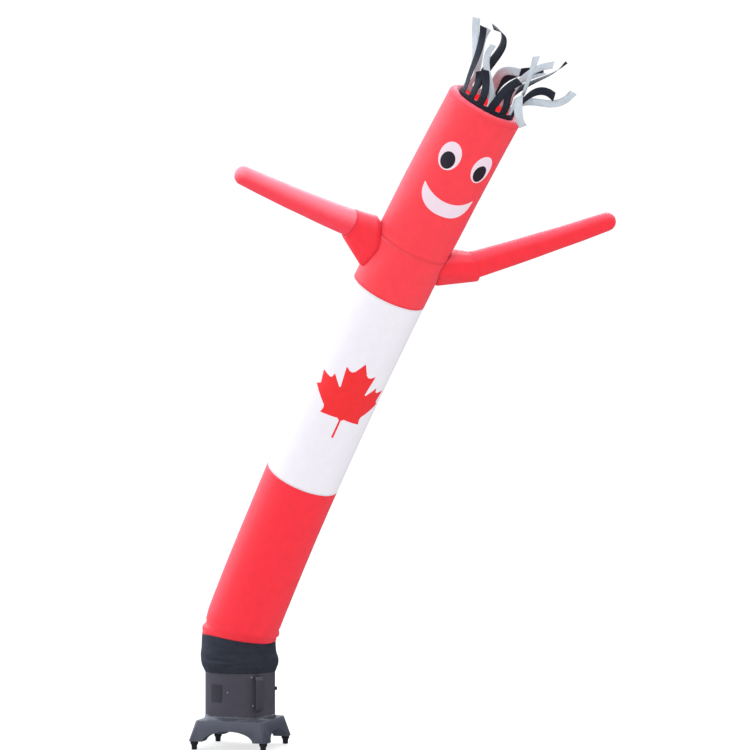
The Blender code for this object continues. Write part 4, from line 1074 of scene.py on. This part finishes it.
def turned_rings(middle, rows, columns):
    """Rings round an upright line; a row is (radius, height), its radius one number or one a column."""
    turns = full_turn(columns)
    return np.array([np.stack((middle.x + radius * np.sin(turns), middle.y - radius * np.cos(turns),
                               np.full_like(turns, height)), axis=-1) for radius, height in rows])


casing_foot, casing_shoulder = BASE_TOP + CASING_LIFT, CASING_TOP - CASING_EDGE
casing_profile = [(0.0, casing_foot), (CASING_RADIUS * 0.5, casing_foot)]
casing_profile += arc(CASING_RADIUS - FOOT_ROUNDING, casing_foot + FOOT_ROUNDING, -90.0, 0.0, FOOT_ROUNDING)
casing_profile += [(CASING_RADIUS, height) for height in np.linspace(0.15, 0.38, 12)]
casing_profile += arc(CASING_RADIUS - CASING_EDGE, casing_shoulder, 0.0, 90.0, CASING_EDGE)
casing_profile += arc(OUTLET_RADIUS + CASING_EDGE, casing_shoulder, 90.0, 180.0, CASING_EDGE)
casing_profile += [(OUTLET_RADIUS, OUTLET_FLOOR + CASING_EDGE), (OUTLET_RADIUS - CASING_EDGE, OUTLET_FLOOR),
                   (OUTLET_RADIUS * 0.5, OUTLET_FLOOR), (0.0, OUTLET_FLOOR)]
casing_rings = turned_rings(blower_axis, casing_profile, CASING_COLUMNS)
casing_mesh = cloth_mesh("casing", casing_rings, 2.0 * math.pi * CASING_RADIUS, CASING_TOP - BASE_TOP)


def join_doubles(mesh, reach=0.00001):
    """Joins points that coincide, as where a profile meets its axis."""
    def join(work):
        bmesh.ops.remove_doubles(work, verts=work.verts, dist=reach)
        bmesh.ops.dissolve_degenerate(work, edges=work.edges, dist=reach)
    rework(mesh, join)


def add_hard_piece(name, mesh, finish, node):
    """A hard piece in one finish, which stands for a solid."""
    mesh.materials.append(finish)
    return add_piece(name, mesh, [node])


join_doubles(casing_mesh)
add_hard_piece("casing", casing_mesh, casing_plastic, "blower_barrel")

# The base: a square plastic moulding with four splayed legs and an arch between each pair, its
# edges softly rounded as it comes from the mould.
base_plastic = plastic_finish("black base plastic", (0.049, 0.052, 0.074), 0.38, gloss=0.35)
MOULD_EDGE, MOULD_ANGLE = 0.0035, math.radians(30.0)
ROUNDING_STEPS = 3


def round_edges(piece, name, width, angle):
    softened = piece.modifiers.new(name, "BEVEL")
    softened.width = width
    softened.segments = ROUNDING_STEPS
    softened.limit_method = "ANGLE"
    softened.angle_limit = angle
    softened.harden_normals = True


base_mesh = nodes["blower_base"].data.copy()
base_mesh.name = "moulded_base"
base_mesh.materials.clear()
join_doubles(base_mesh)
rework(base_mesh, lambda work: bmesh.ops.dissolve_limit(
    work, angle_limit=math.radians(1.0), verts=work.verts, edges=work.edges))
moulded_base = add_hard_piece("moulded_base", base_mesh, base_plastic, "blower_base")
round_edges(moulded_base, "Moulded edges", MOULD_EDGE, MOULD_ANGLE)

# The shoulder: part of the same moulding, it rises from the base's square top in a hollow curve
# to the round casing, so it is broad at the corners and thin in the middle of each side.
SHOULDER_RISE, SHOULDER_HALF, SHOULDER_SINK = 0.020, 0.1440, 0.002
SHOULDER_GAP, SHOULDER_LIP = 0.0002, 0.0012     # least distance from the casing, above and at the foot
SHOULDER_STEPS, SQUARENESS = 10, 14.0
BASE_TURN = math.radians(-15.9)
shoulder_turns = full_turn(CASING_COLUMNS)
turned_square = np.abs(np.cos(shoulder_turns - BASE_TURN)) ** SQUARENESS
turned_square += np.abs(np.sin(shoulder_turns - BASE_TURN)) ** SQUARENESS
square_radius = np.maximum(SHOULDER_HALF / turned_square ** (1.0 / SQUARENESS), CASING_RADIUS + SHOULDER_LIP)
round_radius = np.full_like(square_radius, CASING_RADIUS + SHOULDER_GAP)
shoulder_rows = []
for step in range(SHOULDER_STEPS + 1):
    share = step / SHOULDER_STEPS
    rise = SHOULDER_RISE * (1.0 - math.sqrt(max(1.0 - share ** 2, 0.0)))
    shoulder_rows.append((square_radius * (1.0 - share) + round_radius * share, BASE_TOP + rise))
shoulder_rows.append((round_radius, BASE_TOP - SHOULDER_SINK))
shoulder_rows.append((square_radius, BASE_TOP - SHOULDER_SINK))
shoulder_rows.append(shoulder_rows[0])
shoulder_points = turned_rings(blower_axis, shoulder_rows, CASING_COLUMNS)
shoulder_mesh = cloth_mesh("base_shoulder", shoulder_points, 2.0 * math.pi * SHOULDER_HALF, 0.1)
join_doubles(shoulder_mesh)
add_hard_piece("base_shoulder", shoulder_mesh, base_plastic, "blower_base")

# The pegs: four tapered rubber feet with a rounded end, plugged up into the legs.
peg_rubber = plastic_finish("peg rubber", (0.014, 0.014, 0.017), 0.75, dust=0.1, gloss=0.15)
PEG_COLUMNS = 32
PEG_PROFILE = (
    # radius, height
    (0.0, 0.0), (0.0085, 0.0), (0.0102, 0.0006), (0.0110, 0.0022), (0.0114, 0.0100), (0.0120, 0.0185),
    (0.0150, 0.0225), (0.0165, 0.0265), (0.0168, 0.0343), (0.0, 0.0343),
)
for foot in ("foot_front_left", "foot_front_right", "foot_back_left", "foot_back_right"):
    foot_low, foot_high = (Vector(corner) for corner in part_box(foot))
    peg_rows = [(radius, foot_low.z + height) for radius, height in PEG_PROFILE]
    peg_rings = turned_rings((foot_low + foot_high) / 2.0, peg_rows, PEG_COLUMNS)
    peg_mesh = cloth_mesh("peg_" + foot[5:], peg_rings, 2.0 * math.pi * 0.012, 0.035)
    join_doubles(peg_mesh)
    add_hard_piece("peg_" + foot[5:], peg_mesh, peg_rubber, foot)

# The carrying handle: a broad strap of the same plastic, rounded at its edges, whose two ends meet the
# casing, with a screw beside each end.
handle_plastic = plastic_finish("handle plastic", (0.040, 0.039, 0.052), 0.34, dust=0.1, gloss=0.5)
HANDLE_TURN = math.radians(31.0)
HANDLE_LOW, HANDLE_HIGH = 0.158, 0.304
STRAP_OUT, STRAP_THICK, STRAP_HALF, STRAP_CORNER = 0.026, 0.009, 0.0165, 0.020
STRAP_EDGE, STRAP_ANGLE = 0.0025, math.radians(40.0)
handle_out = Vector((math.sin(HANDLE_TURN), -math.cos(HANDLE_TURN), 0.0))
handle_side = Vector((math.cos(HANDLE_TURN), math.sin(HANDLE_TURN), 0.0))
handle_seat = blower_axis + handle_out * (CASING_RADIUS + SEAM_GAP)
handle_middle, handle_half = (HANDLE_LOW + HANDLE_HIGH) / 2.0, (HANDLE_HIGH - HANDLE_LOW) / 2.0


def strap_line(out, half, corner):
    """Half of the strap's side outline, from its middle to its end at the casing."""
    bend = [(out - corner * (1.0 - math.cos(math.radians(turn))),
             half - corner + corner * math.sin(math.radians(turn))) for turn in range(0, 80, 13)]
    return bend + [(0.0, half)]


outer_line = strap_line(STRAP_OUT, handle_half, STRAP_CORNER)
inner_line = strap_line(STRAP_OUT - STRAP_THICK, handle_half - STRAP_THICK * 1.2, STRAP_CORNER * 0.6)
side_outline = outer_line + inner_line[::-1]
side_outline += [(out, -up) for out, up in inner_line] + [(out, -up) for out, up in outer_line[::-1]]
work = bmesh.new()
rims = []
for side in (-1.0, 1.0):
    rims.append([work.verts.new(handle_seat + handle_out * out + handle_side * side * STRAP_HALF
                                + Vector((0.0, 0.0, handle_middle + up))) for out, up in side_outline])
work.faces.new(rims[0][::-1])
work.faces.new(rims[1])
for index in range(len(side_outline)):
    onward = (index + 1) % len(side_outline)
    work.faces.new((rims[0][index], rims[0][onward], rims[1][onward], rims[1][index]))
bmesh.ops.recalc_face_normals(work, faces=work.faces)
handle_mesh = bpy.data.meshes.new("strap_handle")
work.to_mesh(handle_mesh)
work.free()
strap_handle = add_hard_piece("strap_handle", handle_mesh, handle_plastic, "handle")
round_edges(strap_handle, "Rounded edges", STRAP_EDGE, STRAP_ANGLE)

# The handle's screws: two domed heads on the casing beside the strap's ends.
SCREW_RADIUS, SCREW_DOME, SCREW_SINK = 0.0046, 0.0026, 0.0002
SCREW_COLUMNS, SCREW_ROWS = 24, 5
screw_steel = plastic_finish("screw steel", (0.34, 0.34, 0.37), 0.32, dust=0.0, metallic=0.7, gloss=0.5)
for name, degrees, height in (("handle_screw_high", 21.5, 0.2975), ("handle_screw_low", 24.5, 0.1805)):
    turn = math.radians(degrees)
    screw_out = Vector((math.sin(turn), -math.cos(turn), 0.0))
    screw_side = Vector((math.cos(turn), math.sin(turn), 0.0))
    screw_seat = blower_axis + screw_out * (CASING_RADIUS - SCREW_SINK) + Vector((0.0, 0.0, height))
    screw_rings = []
    for row in range(SCREW_ROWS + 2):
        lift = math.pi / 2.0 * max(row - 1, 0) / SCREW_ROWS
        radius = SCREW_RADIUS * math.cos(lift) if row else 0.0
        ring_middle = screw_seat + screw_out * SCREW_DOME * math.sin(lift)
        turns = np.linspace(0.0, 2.0 * math.pi, SCREW_COLUMNS, endpoint=False)
        screw_rings.append([tuple(ring_middle + (screw_side * math.cos(around)
                                                 + Vector((0.0, 0.0, math.sin(around)))) * radius)
                            for around in turns])
    screw_mesh = cloth_mesh(name, np.array(screw_rings), 0.029, 0.006)
    join_doubles(screw_mesh)
    add_hard_piece(name, screw_mesh, screw_steel, "handle")

# What is left of the blower keeps its solid: the thin plate, the screw head and the knob.
for node, finish in (
        ("side_plate", plastic_finish("plate plastic", (0.031, 0.029, 0.041), 0.55, dust=0.0, gloss=0.15)),
        ("side_knob", plastic_finish("knob plastic", (0.016, 0.016, 0.020), 0.45, dust=0.1)),
        ("barrel_screw", screw_steel)):
    nodes[node].data.materials.clear()
    nodes[node].data.materials.append(finish)
